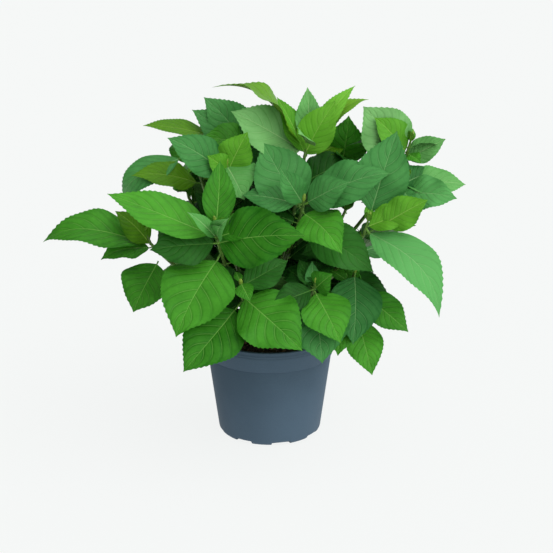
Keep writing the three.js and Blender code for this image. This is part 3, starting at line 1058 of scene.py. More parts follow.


# Given tones are partly each leaf's own and partly painted light and shade: lighter for leaves that catch the
# light, darker for leaves in shade.
SHOOTS: tuple[Shoot, ...] = (
    Shoot("crown", (0.6, 0.55, 0.32), (
        Pair(172, (33, 33), (168, 126), OLIVE, (0.6, 0.3), (34, 30), (0.19, 0.16), (18, 24),
             face=None, second=OLIVE, skew=33, tones=(0.8, 1.0), at=4),
        Pair(185, (29, 52), (127, 121), PALE, (0.68, 0.28), (55, 46), (0.08, 0.2), (12, 16),
             face=-80, second=YOUNG, skew=6, tones=(0.6, 1.0)),
        Pair(182, (62, 60), (92, 90), YOUNG, (0.42, 0.58), (40, 55), (0.04, 0.05), (24, 14),
             face=-80, second=YOUNG, skew=-16, tones=(0.3, 0.9), stalks=(0.04, 0.0), at=-5),
        Pair(80, (82, 30), (94, 80), PALE, (0.5, 0.55), (60, 50), face=-80, tones=(0.3, 0.5)),
    ), YOUNG, 7, 0, 24),
    Shoot("front_left", (0.54, 0.59, 0.53), (
        Pair(234, (-52, 30), (156, 60), FRESH, (0.83, 0.5), (58, 40), (0.06, 0.08), (8, 10),
             face=-104, tones=(0.55, 0.4), at=-30),
        Pair(188, (-8, 8), (98, 138), DEEP, (0.7, 0.64), (50, 66), (0.05, 0.07), (8, 8),
             face=-84, second=FRESH, skew=-31, tones=(0.5, 0.2), stalks=(0.06, 0.02), at=-8),
        Pair(170, (20, 20), (172, 70), FRESH, (0.44, 0.5), (32, 50), (0.02, 0.05), (16, 12),
             tones=(0.72, 0.3)),
        Pair(78, (78, 34), (112, 54), FRESH, (0.5, 0.5), (70, 50), (0.04, 0.05), (22, 20),
             face=-78, second=COOL, skew=20, tones=(0.35, 0.5), at=14),
        Pair(219, (43, 42), (70, 62), PALE, (0.34, 0.5), (50, 56), (0.06, 0.14), (26, 20),
             second=PALE, skew=-105, tones=(0.0, 0.0), stalks=(0.06, 0.06), at=0),
    ), FRESH, 9, 1, 26),
    Shoot("front_middle", (0.4, 0.53, 0.39), (
        Pair(333, (-37, -10), (142, 90), DEEP, (0.6, 0.6), (56, 40), (0.06, 0.06), (10, 10),
             tones=(0.85, 0.3), stalks=(0.14, 0.13), at=-30),
        Pair(305, (-28, 49), (107, 112), FRESH, (0.68, 0.8), (54, 58), (0.12, 0.06), (12, 8),
             face=-88, second=COOL, skew=19, tones=(0.62, 0.6), at=-10),
        Pair(0, (21, 10), (135, 90), COOL, (0.62, 0.6), (42, 45), (0.12, 0.06), (14, 10),
             tones=(0.5, 0.4), stalks=(0.12, 0.13), at=2),
        Pair(212, (57, 31), (73, 85), COOL, (0.58, 0.7), (60, 56), (0.05, 0.08), (14, 12),
             skew=-58, tones=(0.5, 0.55), at=2),
    ), COOL, 9, 0, 26),
    Shoot("front_right", (0.43, 0.53, 0.43), (
        Pair(330, (-41, -14), (163, 98), COOL, (0.46, 0.6), (46, 50), (0.25, 0.08), (10, 8),
             face=-66, second=DEEP, tones=(1.1, 0.5), at=10),
        Pair(346, (32, -22), (108, 101), YOUNG, (0.68, 0.6), (62, 55), (0.05, 0.06), (12, 10),
             second=DEEP, tones=(0.5, 0.6), stalks=(0.32, 0.13)),
        Pair(39, (67, 30), (157, 70), COOL, (0.64, 0.5), (60, 40), (0.05, 0.05), (12, 12),
             second=DEEP, tones=(0.5, 0.2), stalks=(0.25, 0.1), at=-6),
        Pair(2, (24, 40), (76, 44), YOUNG, (0.62, 0.5), (50, 40), (0.12, 0.05), (34, 30),
             tones=(0.6, 0.6), at=12),
    ), FRESH, 8, 1, 34),
    Shoot("upper_left", (0.59, 0.54, 0.43), (
        Pair(191, (30, 33), (102, 76), COOL, (0.58, 0.74), (56, 60), (0.07, 0.07), (10, 10),
             face=-96, second=COOL, skew=18, tones=(0.45, 0.1)),
        Pair(300, (-34, 14), (62, 70), PALE, (1.15, 0.6), (62, 50), (0.12, 0.06), (6, 10),
             second=COOL, tones=(0.1, 0.4), stalks=(0.0, 0.1), at=4),
        Pair(212, (36, 62), (42, 64), YOUNG, (0.8, 0.8), (60, 62), (0.05, 0.05), (14, 14),
             skew=-36, tones=(0.45, 0.5), stalks=(0.0, 0.0), at=-4),
    ), COOL, 7, 0, 34),
    Shoot("upper_back", (0.59, 0.3, 0.33), (
        Pair(195, (16, 8), (178, 90), OLIVE, (0.36, 0.6), (28, 30), (0.04, 0.07), (14, 10),
             second=COOL, tones=(0.5, 0.4), stalks=(0.38, 0.13), at=14),
        Pair(183, (49, 16), (113, 100), COOL, (0.66, 0.6), (58, 30), (0.07, 0.07), (8, 10), tones=(0.7, 0.4)),
        Pair(189, (36, 44), (115, 80), COOL, (0.6, 0.6), (52, 40), (0.06, 0.06), (10, 10),
             face=-95, tones=(0.6, 0.4)),
        Pair(216, (20, 40), (97, 70), FRESH, (0.7, 0.6), (52, 40), (0.08, 0.06), (10, 10), tones=(0.6, 0.4)),
        Pair(98, (-6, 60), (122, 60), face=None),
        Pair(140, (20, 14), (96, 90), face=None),
    ), COOL, 7, 2, 40),
    Shoot("left_shoulder", (0.6, 0.49, 0.48), (
        Pair(176, (-22, 6), (126, 76), COOL, (0.44, 0.55), (52, 30), (0.34, 0.07), (8, 12),
             face=-100, second=FRESH, tones=(0.6, 0.4), stalks=(0.22, 0.1), at=40),
        Pair(201, (2, 30), (106, 60), OLIVE, (0.46, 0.5), (44, 30), (0.1, 0.06), (12, 12),
             face=-80, tones=(0.6, 0.4), at=-17),
        Pair(120, (20, 30), (90, 66), FRESH, (0.56, 0.5), (40, 30), (0.12, 0.06), face=None),
    ), FRESH, 4, 1, 34),
    Shoot("far_left", (0.84, 0.54, 0.67), (
        Pair(178, (0, 30), (162, 40), FRESH, (0.44, 0.5), (34, 40), (0.23, 0.05), (20, 20),
             tones=(0.45, 0.5), at=2),
        Pair(184, (45, 40), (72, 30), OLIVE, (0.62, 0.5), (54, 40), (0.14, 0.05), (14, 12), tones=(0.3, 0.5)),
        Pair(191, (-16, 40), (78, 34), FRESH, (0.6, 0.5), (34, 40), (0.16, 0.05), (14, 12),
             face=-100, tones=(0.45, 0.5), at=-6),
        Pair(234, (-66, 60), (106, 34), FRESH, (0.98, 0.5), (58, 40), (0.08, 0.05), (10, 12),
             face=-106, tones=(0.4, 0.5), at=-30),
    ), FRESH, 0, 1, 26),
    Shoot("right_shoulder", (0.61, 0.54, 0.28), (
        Pair(358, (23, 47), (63, 98), PALE, (0.66, 0.9), (48, 62), (0.05, 0.12), (10, 6),
             skew=-7, tones=(0.2, 0.7)),
        Pair(188, (49, -7), (77, 40), YOUNG, (0.74, 0.6), (50, 50), (0.05, 0.08), (18, 12),
             second=FRESH, skew=-70, tones=(0.45, 0.6)),
        Pair(168, (6, 20), (92, 50), COOL, (0.6, 0.55), (40, 40), face=None, tones=(0.3, 0.5)),
    ), COOL, 3, 1, 26),
    Shoot("upper_right", (0.55, 0.46, 0.34), (
        Pair(303, (78, 10), (80, 60), FRESH, (0.8, 0.55), (66, 40), (0.10, 0.05), (6, 10),
             second=DEEP, tones=(0.4, 0.5)),
        Pair(210, (17, 10), (51, 63), OLIVE, (0.62, 0.6), (40, 45), (0.12, 0.05),
             second=DEEP, skew=30, tones=(0.35, 0.5), at=32),
        Pair(94, (40, 12), (76, 64), DEEP, face=None, tones=(0.5, 0.5)),
    ), DEEP, 3, 0, 36),
    Shoot("far_right", (0.36, 0.52, 0.46), (
        Pair(12, (3, 20), (103, 60), PALE, (0.6, 0.55), (38, 40), (0.06, 0.05), (12, 10),
             second=COOL, tones=(0.1, 0.4), at=12),
        Pair(344, (-3, 20), (86, 56), COOL, (0.7, 0.6), (50, 40), (0.12, 0.05), (10, 10), tones=(0.85, 0.4)),
        Pair(110, (40, -10), (80, 50), COOL, (0.7, 0.55), (50, 40), tones=(0.15, 0.4)),
        Pair(25, (24, 10), (62, 50), COOL, (0.8, 0.6), (50, 40), (0.05, 0.05), (10, 10), tones=(0.1, 0.3)),
    ), COOL, 4, 1, 26),
    Shoot("low_left", (0.51, 0.62, 0.68), (
        Pair(218, (-45, 10), (146, 60), FRESH, (0.74, 0.5), (58, 40), (0.06, 0.05), (10, 12),
             face=-100, second=DEEP, tones=(0.2, 0.5), stalks=(0.12, 0.13), at=-24),
        Pair(322, (-32, 20), (131, 70), FRESH, (0.78, 0.6), (62, 40), (0.06, 0.05), (8, 12),
             face=-80, second=DEEP, tones=(0.45, 0.3), at=-12),
        Pair(20, (26, -14), (80, 76), DEEP, (0.66, 0.6), (50, 40), tones=(0.6, 0.4)),
        Pair(292, (-12, 40), (38, 30), FRESH, (0.76, 0.5), (60, 40), (0.1, 0.05), (8, 12), tones=(0.35, 0.5)),
    ), FRESH, 9, 0, 30),
    Shoot("low_middle", (0.5, 0.64, 0.74), (
        Pair(279, (-57, 50), (113, 40), COOL, (0.92, 0.5), (60, 40), (0.05, 0.05), (8, 12),
             tones=(0.35, 0.5), at=-16),
        Pair(298, (-40, 30), (97, 56), FRESH, (0.8, 0.55), (62, 40), (0.06, 0.05), (10, 12),
             face=-84, second=DEEP, tones=(0.62, 0.4), at=-8),
        Pair(318, (39, 10), (42, 60), FRESH, (0.95, 0.8), (60, 50), (0.14, 0.05), (8, 12),
             second=DEEP, skew=-10, tones=(0.3, 0.1), at=-4),
        Pair(128, (-25, -20), (102, 70), DEEP, (0.76, 0.7), (58, 50), skew=-110, tones=(0.15, 0.3), at=-4),
        Pair(106, (5, 20), (92, 66), DEEP, (0.8, 0.7), (58, 50), skew=160, tones=(0.1, 0.3), at=2),
    ), DEEP, 9, 0, 26),
    Shoot("low_right", (0.31, 0.67, 0.8), (
        Pair(254, (-46, 30), (128, 34), FRESH, (0.6, 0.5), (60, 40), (0.05, 0.05), (8, 12),
             tones=(0.4, 0.5), stalks=(0.35, 0.13), at=-24),
        Pair(292, (-61, 20), (148, 34), FRESH, (0.66, 0.5), (62, 40), (0.04, 0.05), (10, 12),
             face=-86, tones=(0.6, 0.5), stalks=(0.4, 0.13), at=-16),
        Pair(337, (-40, 10), (115, 44), FRESH, (0.66, 0.5), (52, 40), (0.06, 0.05), (10, 12),
             face=-76, tones=(0.35, 0.5), stalks=(0.26, 0.13), at=-10),
        Pair(268, (-45, 30), (110, 34), COOL, (0.72, 0.5), (58, 40), (0.07, 0.05), (8, 12),
             face=-84, tones=(0.2, 0.5), at=8),
    ), DEEP, 9, 0, 30),
    far_shoot("back_left", (0.52, 0.5, 0.46), 142, 126),
    far_shoot("back_middle", (0.52, 0.24, 0.48), 94, 130),
    far_shoot("back_right", (0.46, 0.48, 0.47), 44, 128),
    far_shoot("low_back_left", (0.53, 0.43, 0.57), 128, 120, 18),
    far_shoot("low_back_right", (0.53, 0.47, 0.57), 56, 120, 18),
    far_shoot("low_side", (0.31, 0.42, 0.57), 8, 98, 18),
)


@dataclass(frozen=True)
class Leaf:
    """One leaf, ready to be shaped: where its stalk leaves the stem, its tip and how it hangs."""

    root: Vector
    tip: Vector
    upper: Vector
    width: float
    arch: float
    fold: float
    wave: float
    sway: float
    tint: Tint
    tone: float
    stalk: float

    @property
    def blade_root(self) -> Vector:
        """Where the blade begins, at the end of its stalk."""
        return self.root.lerp(self.tip, self.stalk)

    @property
    def length(self) -> float:
        """The blade's length."""
        return (self.tip - self.blade_root).length


BASE_CURVE, TIP_CURVE, TIP_DRAW, WIDEST = 0.8, 1.1, 0.32, 0.273
ARCH_TOP = 2.6


@dataclass
class Spray:
    """The leaves of one shoot as one joined piece, each leaf a closed thin blade."""

    leaves: list[Leaf]
    tooth_pitch: float = 5.2 * MM
    tooth_depth: float = 0.009
    toothed: tuple[float, float] = (0.07, 0.97)
    tooth_point: tuple[float, float] = (1.0, 0.7)
    tooth_gap: tuple[float, float] = (0.2, -0.5)
    tooth_growth: tuple[float, float] = (6.0, 7.0)
    rib: float = 0.75 * MM
    rib_share: float = 0.24
    least_half: float = 0.25 * MM
    thickness: float = 0.35 * MM
    cupped: float = 0.42
    ripples: float = 2.3
    ripple_shifts: tuple[float, float] = (0.31, 9.0)
    most_rows: int = 44
    least_rows: int = 12
    margin: float = 0.03
    columns: tuple[float, ...] = (-1.0, -0.66, -0.3, -0.05, 0.05, 0.3, 0.66, 1.0)
    map_columns: tuple[float, ...] = (0.0, 0.19, 0.35, 0.46, 0.54, 0.65, 0.81, 1.0)
    tints: list[Tint] = field(default_factory=list)

    @staticmethod
    def outline(s: float) -> float:
        """The half-width at a share of the blade's length: egg-shaped, with a short drawn-out tip."""
        return s**BASE_CURVE * (1 - s) ** TIP_CURVE * (1 - TIP_DRAW * s**5) / WIDEST

    @staticmethod
    def arched(s: float) -> float:
        """The rise of the midrib at a share of the blade's length, as a part of its highest."""
        return ARCH_TOP * (s - s**3)

    def half_width(self, leaf: Leaf, s: float) -> float:
        """The even half-width of a leaf at a share of its blade's length."""
        return max(0.5 * leaf.width * leaf.length * self.outline(s), self.least_half)

    def rows_of(self, leaf: Leaf) -> int:
        """An even number of rows that gives the edge its teeth."""
        return 2 * round(max(self.least_rows, min(self.most_rows, 2 * leaf.length / self.tooth_pitch)) / 2)

    def surface_point(self, leaf: Leaf, s: float, column: int, odd: bool) -> tuple[Vector, float]:
        """A point of the upper side in the leaf's own axes, and its signed place across.

        Args:
            leaf: The leaf.
            s: The share of the blade's length.
            column: Which lengthwise line, from one edge to the other.
            odd: Whether this row is a tooth's point.

        Returns:
            The point, and its distance from the midrib.
        """
        length = leaf.length
        half = self.half_width(leaf, s)
        across = self.columns[column] * half
        if abs(self.columns[column]) < 0.1:
            across = math.copysign(min(self.rib, self.rib_share * half), across)
        x = s * length
        edge = column in (0, len(self.columns) - 1)
        if edge and self.toothed[0] < s < self.toothed[1]:
            foot, tip = self.tooth_growth
            depth = self.tooth_depth * length * min(1.0, foot * s, tip * (1 - s))
            out, forward = self.tooth_point if odd else self.tooth_gap
            across += math.copysign(out * depth, across)
            x += forward * depth
        share = abs(across) / max(half, MM)
        fold = math.tan(math.radians(leaf.fold)) * abs(across) * (1 - self.cupped * share)
        side = math.copysign(1.0, across)
        by_side, by_tone = self.ripple_shifts
        beat = math.tau * (self.ripples * s + by_side * side) + by_tone * leaf.tone
        z = leaf.arch * length * self.arched(s) + fold + leaf.wave * half * share**2 * math.sin(beat)
        y = across + leaf.sway * length * 4 * s * (1 - s)
        return Vector((x, y, z)), across

    def build(self, name: str, finishes: LeafFinishes, slot: str, nodes: Sequence[str]) -> None:
        """Shape every leaf and join them.

        Args:
            name: The piece's name.
            finishes: The material of each tint's upper and under side.
            slot: The record's material slot.
            nodes: The masses that it stands for.
        """
        self.tints = sorted({leaf.tint for leaf in self.leaves}, key=lambda tint: tint.name)
        bm = bmesh.new()
        maps = [bm.loops.layers.uv.new(label) for label in ("OFBake", "leaf", "span")]
        sheets = 2 * len(self.leaves)
        wide = math.ceil(math.sqrt(sheets))
        tall = math.ceil(sheets / wide)
        for i, leaf in enumerate(self.leaves):
            cells = [((k % wide) / wide, (k // wide) / tall, 1 / wide, 1 / tall) for k in (2 * i, 2 * i + 1)]
            self.shape(bm, leaf, maps, cells)
        materials = [finishes[tint, under] for tint in self.tints for under in (False, True)]
        finish_piece(name, bm, materials, slot, nodes)

    def shape(
        self, bm: bmesh.types.BMesh, leaf: Leaf, maps: Sequence, cells: Sequence[tuple[float, ...]]
    ) -> None:
        """Shape one leaf: a grid bent into the upper side, a copy for the under side, joined at the edge.

        Args:
            bm: The mesh that takes it.
            leaf: The leaf.
            maps: The bake, leaf and span maps.
            cells: The corner and size of each side's own cell on the bake map.
        """
        rows, last = self.rows_of(leaf), len(self.columns) - 1
        grid = bmesh.ops.create_grid(bm, x_segments=rows, y_segments=last, size=0.5)["verts"]
        along = (leaf.tip - leaf.blade_root).normalized()
        up = (leaf.upper - along * leaf.upper.dot(along)).normalized()
        axes = Matrix((along, up.cross(along), up)).transposed()
        marks: dict[bmesh.types.BMVert, tuple[int, int, float]] = {}
        for vert in grid:
            row, column = round((vert.co.x + 0.5) * rows), round((vert.co.y + 0.5) * last)
            point, across = self.surface_point(leaf, row / rows, column, row % 2 == 1)
            vert.co = leaf.blade_root + axes @ point
            marks[vert] = (row, column, across)
        faces = list({face for vert in grid for face in vert.link_faces})
        edges = list({edge for face in faces for edge in face.edges})
        number = 2 * self.tints.index(leaf.tint)
        copied = bmesh.ops.duplicate(bm, geom=grid + edges + faces)
        twins = copied["vert_map"]
        lower = [part for part in copied["geom"] if isinstance(part, bmesh.types.BMFace)]
        bmesh.ops.reverse_faces(bm, faces=lower)
        joined = {}
        for vert in grid:
            row, column, across = marks[vert]
            twin = twins[vert]
            marks[twin] = marks[vert]
            if 0 < row < rows and 0 < column < last:
                twin.co = vert.co - up * self.thickness
            else:
                joined[twin] = vert
        for side, sheet in enumerate((faces, lower)):
            for face in sheet:
                face.material_index = number + side
                face.smooth = True
                for loop in face.loops:
                    row, column, across = marks[loop.vert]
                    self.lay_maps(loop, leaf, (row / rows, column, across), maps, cells[side])
        bmesh.ops.weld_verts(bm, targetmap=joined)
        for vert in joined.values():
            for edge in vert.link_edges:
                if {face in faces for face in edge.link_faces} == {True, False}:
                    edge.smooth = False

    def lay_maps(
        self,
        loop: bmesh.types.BMLoop,
        leaf: Leaf,
        mark: tuple[float, int, float],
        maps: Sequence,
        cell: tuple[float, ...],
    ) -> None:
        """Set the three maps at one corner of a face.

        Args:
            loop: The corner.
            leaf: Its leaf.
            mark: Its share of the blade's length, its lengthwise line and its distance from the midrib.
            maps: The bake, leaf and span maps.
            cell: The corner and size of this side's own cell on the bake map.
        """
        s, column, across = mark
        left, bottom, width, height = cell
        x, y = (self.margin + (1 - 2 * self.margin) * part for part in (s, self.map_columns[column]))
        bake, leaf_map, span = maps
        loop[bake].uv = (left + width * x, bottom + height * y)
        loop[leaf_map].uv = (s, max(-1.0, min(1.0, across / self.half_width(leaf, s))))
        loop[span].uv = (across * 100, leaf.tone)


@dataclass(frozen=True)
class Window:
    """A line of sight through the crown that stays open: a point of the whole box, and its half-width."""

    share: tuple[float, float, float]
    radius: float
    steps: int = 8
    blade_share: float = 0.45

    def blocked_by(self, leaf: Leaf, eye: Vector) -> bool:
        """Whether a leaf stands in the line from the eye through this window.

        Args:
            leaf: The leaf.
            eye: Where the line starts.

        Returns:
            True if some of its blade is too near to the line.
        """
        way = (place_in(*CAD_BOX, self.share) - eye).normalized()
        for i in range(self.steps + 1):
            s = i / self.steps
            point = leaf.blade_root.lerp(leaf.tip, s) - eye
            point += leaf.upper.normalized() * leaf.arch * leaf.length * Spray.arched(s)
            clear = self.radius + self.blade_share * leaf.width * leaf.length * Spray.outline(s)
            if (point - way * point.dot(way)).length < clear:
                return True
        return False


# ---------------------------------------------------------------- stage


@dataclass(frozen=True)
class Lamp:
    """A far, soft lamp: where it shines from in degrees, how strongly, and how wide it is in degrees."""

    name: str
    turn: float
    rise: float
    power: float
    spread: float

    def hang(self) -> None:
        """Put the lamp into the scene."""
        light = bpy.data.lights.new(self.name, "SUN")
        light.energy, light.angle = self.power, math.radians(self.spread)
        lamp = bpy.data.objects.new(self.name, light)
        lamp.rotation_euler = (-heading(self.turn, self.rise)).to_track_quat("-Z", "Y").to_euler()
        bpy.context.scene.collection.objects.link(lamp)


@dataclass(frozen=True)
class Stage:
    """Floor, light and camera."""

    distance: float = 2.2
    height_angle: float = 17.68
    lens: float = 93.4
    sensor: float = 36.0
    aim: tuple[float, float, float] = (0.0107, 0.0, 0.2485)
    farthest: float = 100.0
    floor_radius: float = 30.0
    floor_sides: int = 96
    pale: Colour = (0.07, 0.072, 0.071)
    glow: Colour = (0.850, 0.864, 0.858)
    floor_finish: tuple[float, float] = (0.9, 0.0)
    sky: Colour = (0.90, 0.92, 0.915)
    sky_turn: tuple[float, float] = (-0.8, 0.6)
    dim_side: float = 0.16
    lit_side: float = 1.12
    lamps: tuple[Lamp, ...] = (
        Lamp("key_light", -34, 44, 1.15, 70),
        Lamp("fill_light", -110, 66, 0.4, 100),
    )

    def eye(self) -> Vector:
        """Where the camera stands."""
        rise = math.radians(self.height_angle)
        return Vector(self.aim) + Vector((0, -math.cos(rise), math.sin(rise))) * self.distance

    def build(self) -> None:
        """Lay the floor and set up the lights and the camera."""
        bpy.context.scene.view_settings.view_transform = "Standard"
        self.place_camera()
        self.light_sky()
        for lamp in self.lamps:
            lamp.hang()
        self.lay_floor()

    def place_camera(self) -> None:
        """Set the camera in front of the shrub, a little above it."""
        camera = bpy.data.objects.new("camera", bpy.data.cameras.new("camera"))
        camera.data.lens, camera.data.sensor_width = self.lens, self.sensor
        camera.data.clip_end = self.farthest
        camera.location = self.eye()
        camera.rotation_euler = (Vector(self.aim) - self.eye()).to_track_quat("-Z", "Y").to_euler()
        bpy.context.scene.collection.objects.link(camera)
        bpy.context.scene.camera = camera

    def light_sky(self) -> None:
        """Light the shrub from all round, more from its right, with an even sky for the camera itself."""
        world = bpy.data.worlds.new("soft_light")
        world.use_nodes = True
        wires = Wiring(world.node_tree)
        sky = world.node_tree.nodes["Background"]
        sky.inputs[0].default_value = (*self.sky, 1.0)
        way = wires.parts(wires.node("ShaderNodeTexCoord").outputs["Generated"])
        lit = wires.ease(way[0], *self.sky_turn, self.dim_side, self.lit_side)
        seen = wires.node("ShaderNodeLightPath").outputs["Is Camera Ray"]
        wires.feed(sky.inputs[1], wires.plus(lit, wires.times(seen, wires.less(1.0, lit))))
        bpy.context.scene.world = world

    def lay_floor(self) -> None:
        """Lay the wide pale floor, which isn't part of the shrub."""
        floor = bmesh.new()
        bmesh.ops.create_circle(floor, cap_ends=True, radius=self.floor_radius, segments=self.floor_sides)
        material = bpy.data.materials.new("floor")
        material.use_nodes = True
        shader = material.node_tree.nodes["Principled BSDF"]
        roughness, shine = self.floor_finish
        shader.inputs["Base Color"].default_value = (*self.pale, 1.0)
        shader.inputs["Emission Color"].default_value = (*self.glow, 1.0)
        shader.inputs["Emission Strength"].default_value = 1.0
        shader.inputs["Roughness"].default_value = roughness
        shader.inputs["Specular IOR Level"].default_value = shine
        ground = new_object("floor", floor, [material])


# ---------------------------------------------------------------- growth


@dataclass(frozen=True)
class InnerLeaves:
    """How the older leaves inside the crown hang: lengths in millimetres, angles in degrees.

    A leaf's tip lies at least set_back behind its seat, unless the seat is further back than far_side.
    """

    reaches: tuple[float, float] = (72.0, 112.0)
    turn_step: float = 67.0
    turns: tuple[float, float] = (-24.0, 24.0)
    rises: tuple[float, float] = (-34.0, 20.0)
    rolls: tuple[float, float] = (-110.0, 110.0)
    widths: tuple[float, float] = (0.62, 0.78)
    tilt: float = 46.0
    arch: float = 0.09
    fold: float = 10.0
    # Painted shade: the share of the usual tone that the leaves inside the crown keep, so they read darker.
    shade: float = 0.55
    least: float = 42.0
    set_back: float = 6.0
    far_side: float = 60.0


@dataclass(frozen=True)
class YoungLeaves:
    """How the small folded pairs stand round a bud: lengths in millimetres, angles in degrees."""

    rises: tuple[float, float] = (38.0, 52.0)
    rise_step: float = 9.0
    turns: tuple[float, float] = (-12.0, 12.0)
    reaches: tuple[float, float] = (0.85, 1.1)
    reach_step: float = 0.62
    width: float = 0.46
    tilt: float = 20.0
    arch: float = 0.05
    fold: float = 30.0
    spacing: float = 5.0


@dataclass(frozen=True)
class Stem:
    """A short bent stem: its start, bend and end, and its radius at its foot and tip."""

    ends: tuple[Vector, Vector, Vector]
    foot: float
    tip: float
    steps: int = 4

    def draw(self, bm: bmesh.types.BMesh, sides: int) -> None:
        """Add it to a mesh as a tube of so many sides."""
        path = [curve_point(*self.ends, i / self.steps) for i in range(self.steps + 1)]
        add_tube(bm, path, lambda share, _: self.foot + (self.tip - self.foot) * share, sides)


@dataclass(frozen=True)
class StalkRule:
    """How a leaf's stalk hangs: its parts are parts of the blade's length or of the stalk's own."""

    thickness: float = 0.0085
    least: float = 0.35 * MM
    sag: float = 0.012
    bend_at: float = 0.55
    runs_on: float = 0.03
    end_sag: float = 0.2
    tapers: tuple[float, float] = (1.25, 0.8)

    def stalk(self, leaf: Leaf) -> Stem:
        """The stalk of a leaf, which sags a little and runs on below the blade's foot.

        Args:
            leaf: The leaf.

        Returns:
            Its stalk.
        """
        thick = self.thickness * leaf.length + self.least
        sag = leaf.upper * leaf.length * self.sag
        bend = leaf.root.lerp(leaf.blade_root, self.bend_at) - sag
        end = leaf.blade_root + (leaf.tip - leaf.blade_root) * self.runs_on - sag * self.end_sag
        foot, tip = self.tapers
        return Stem((leaf.root, bend, end), thick * foot, thick * tip)


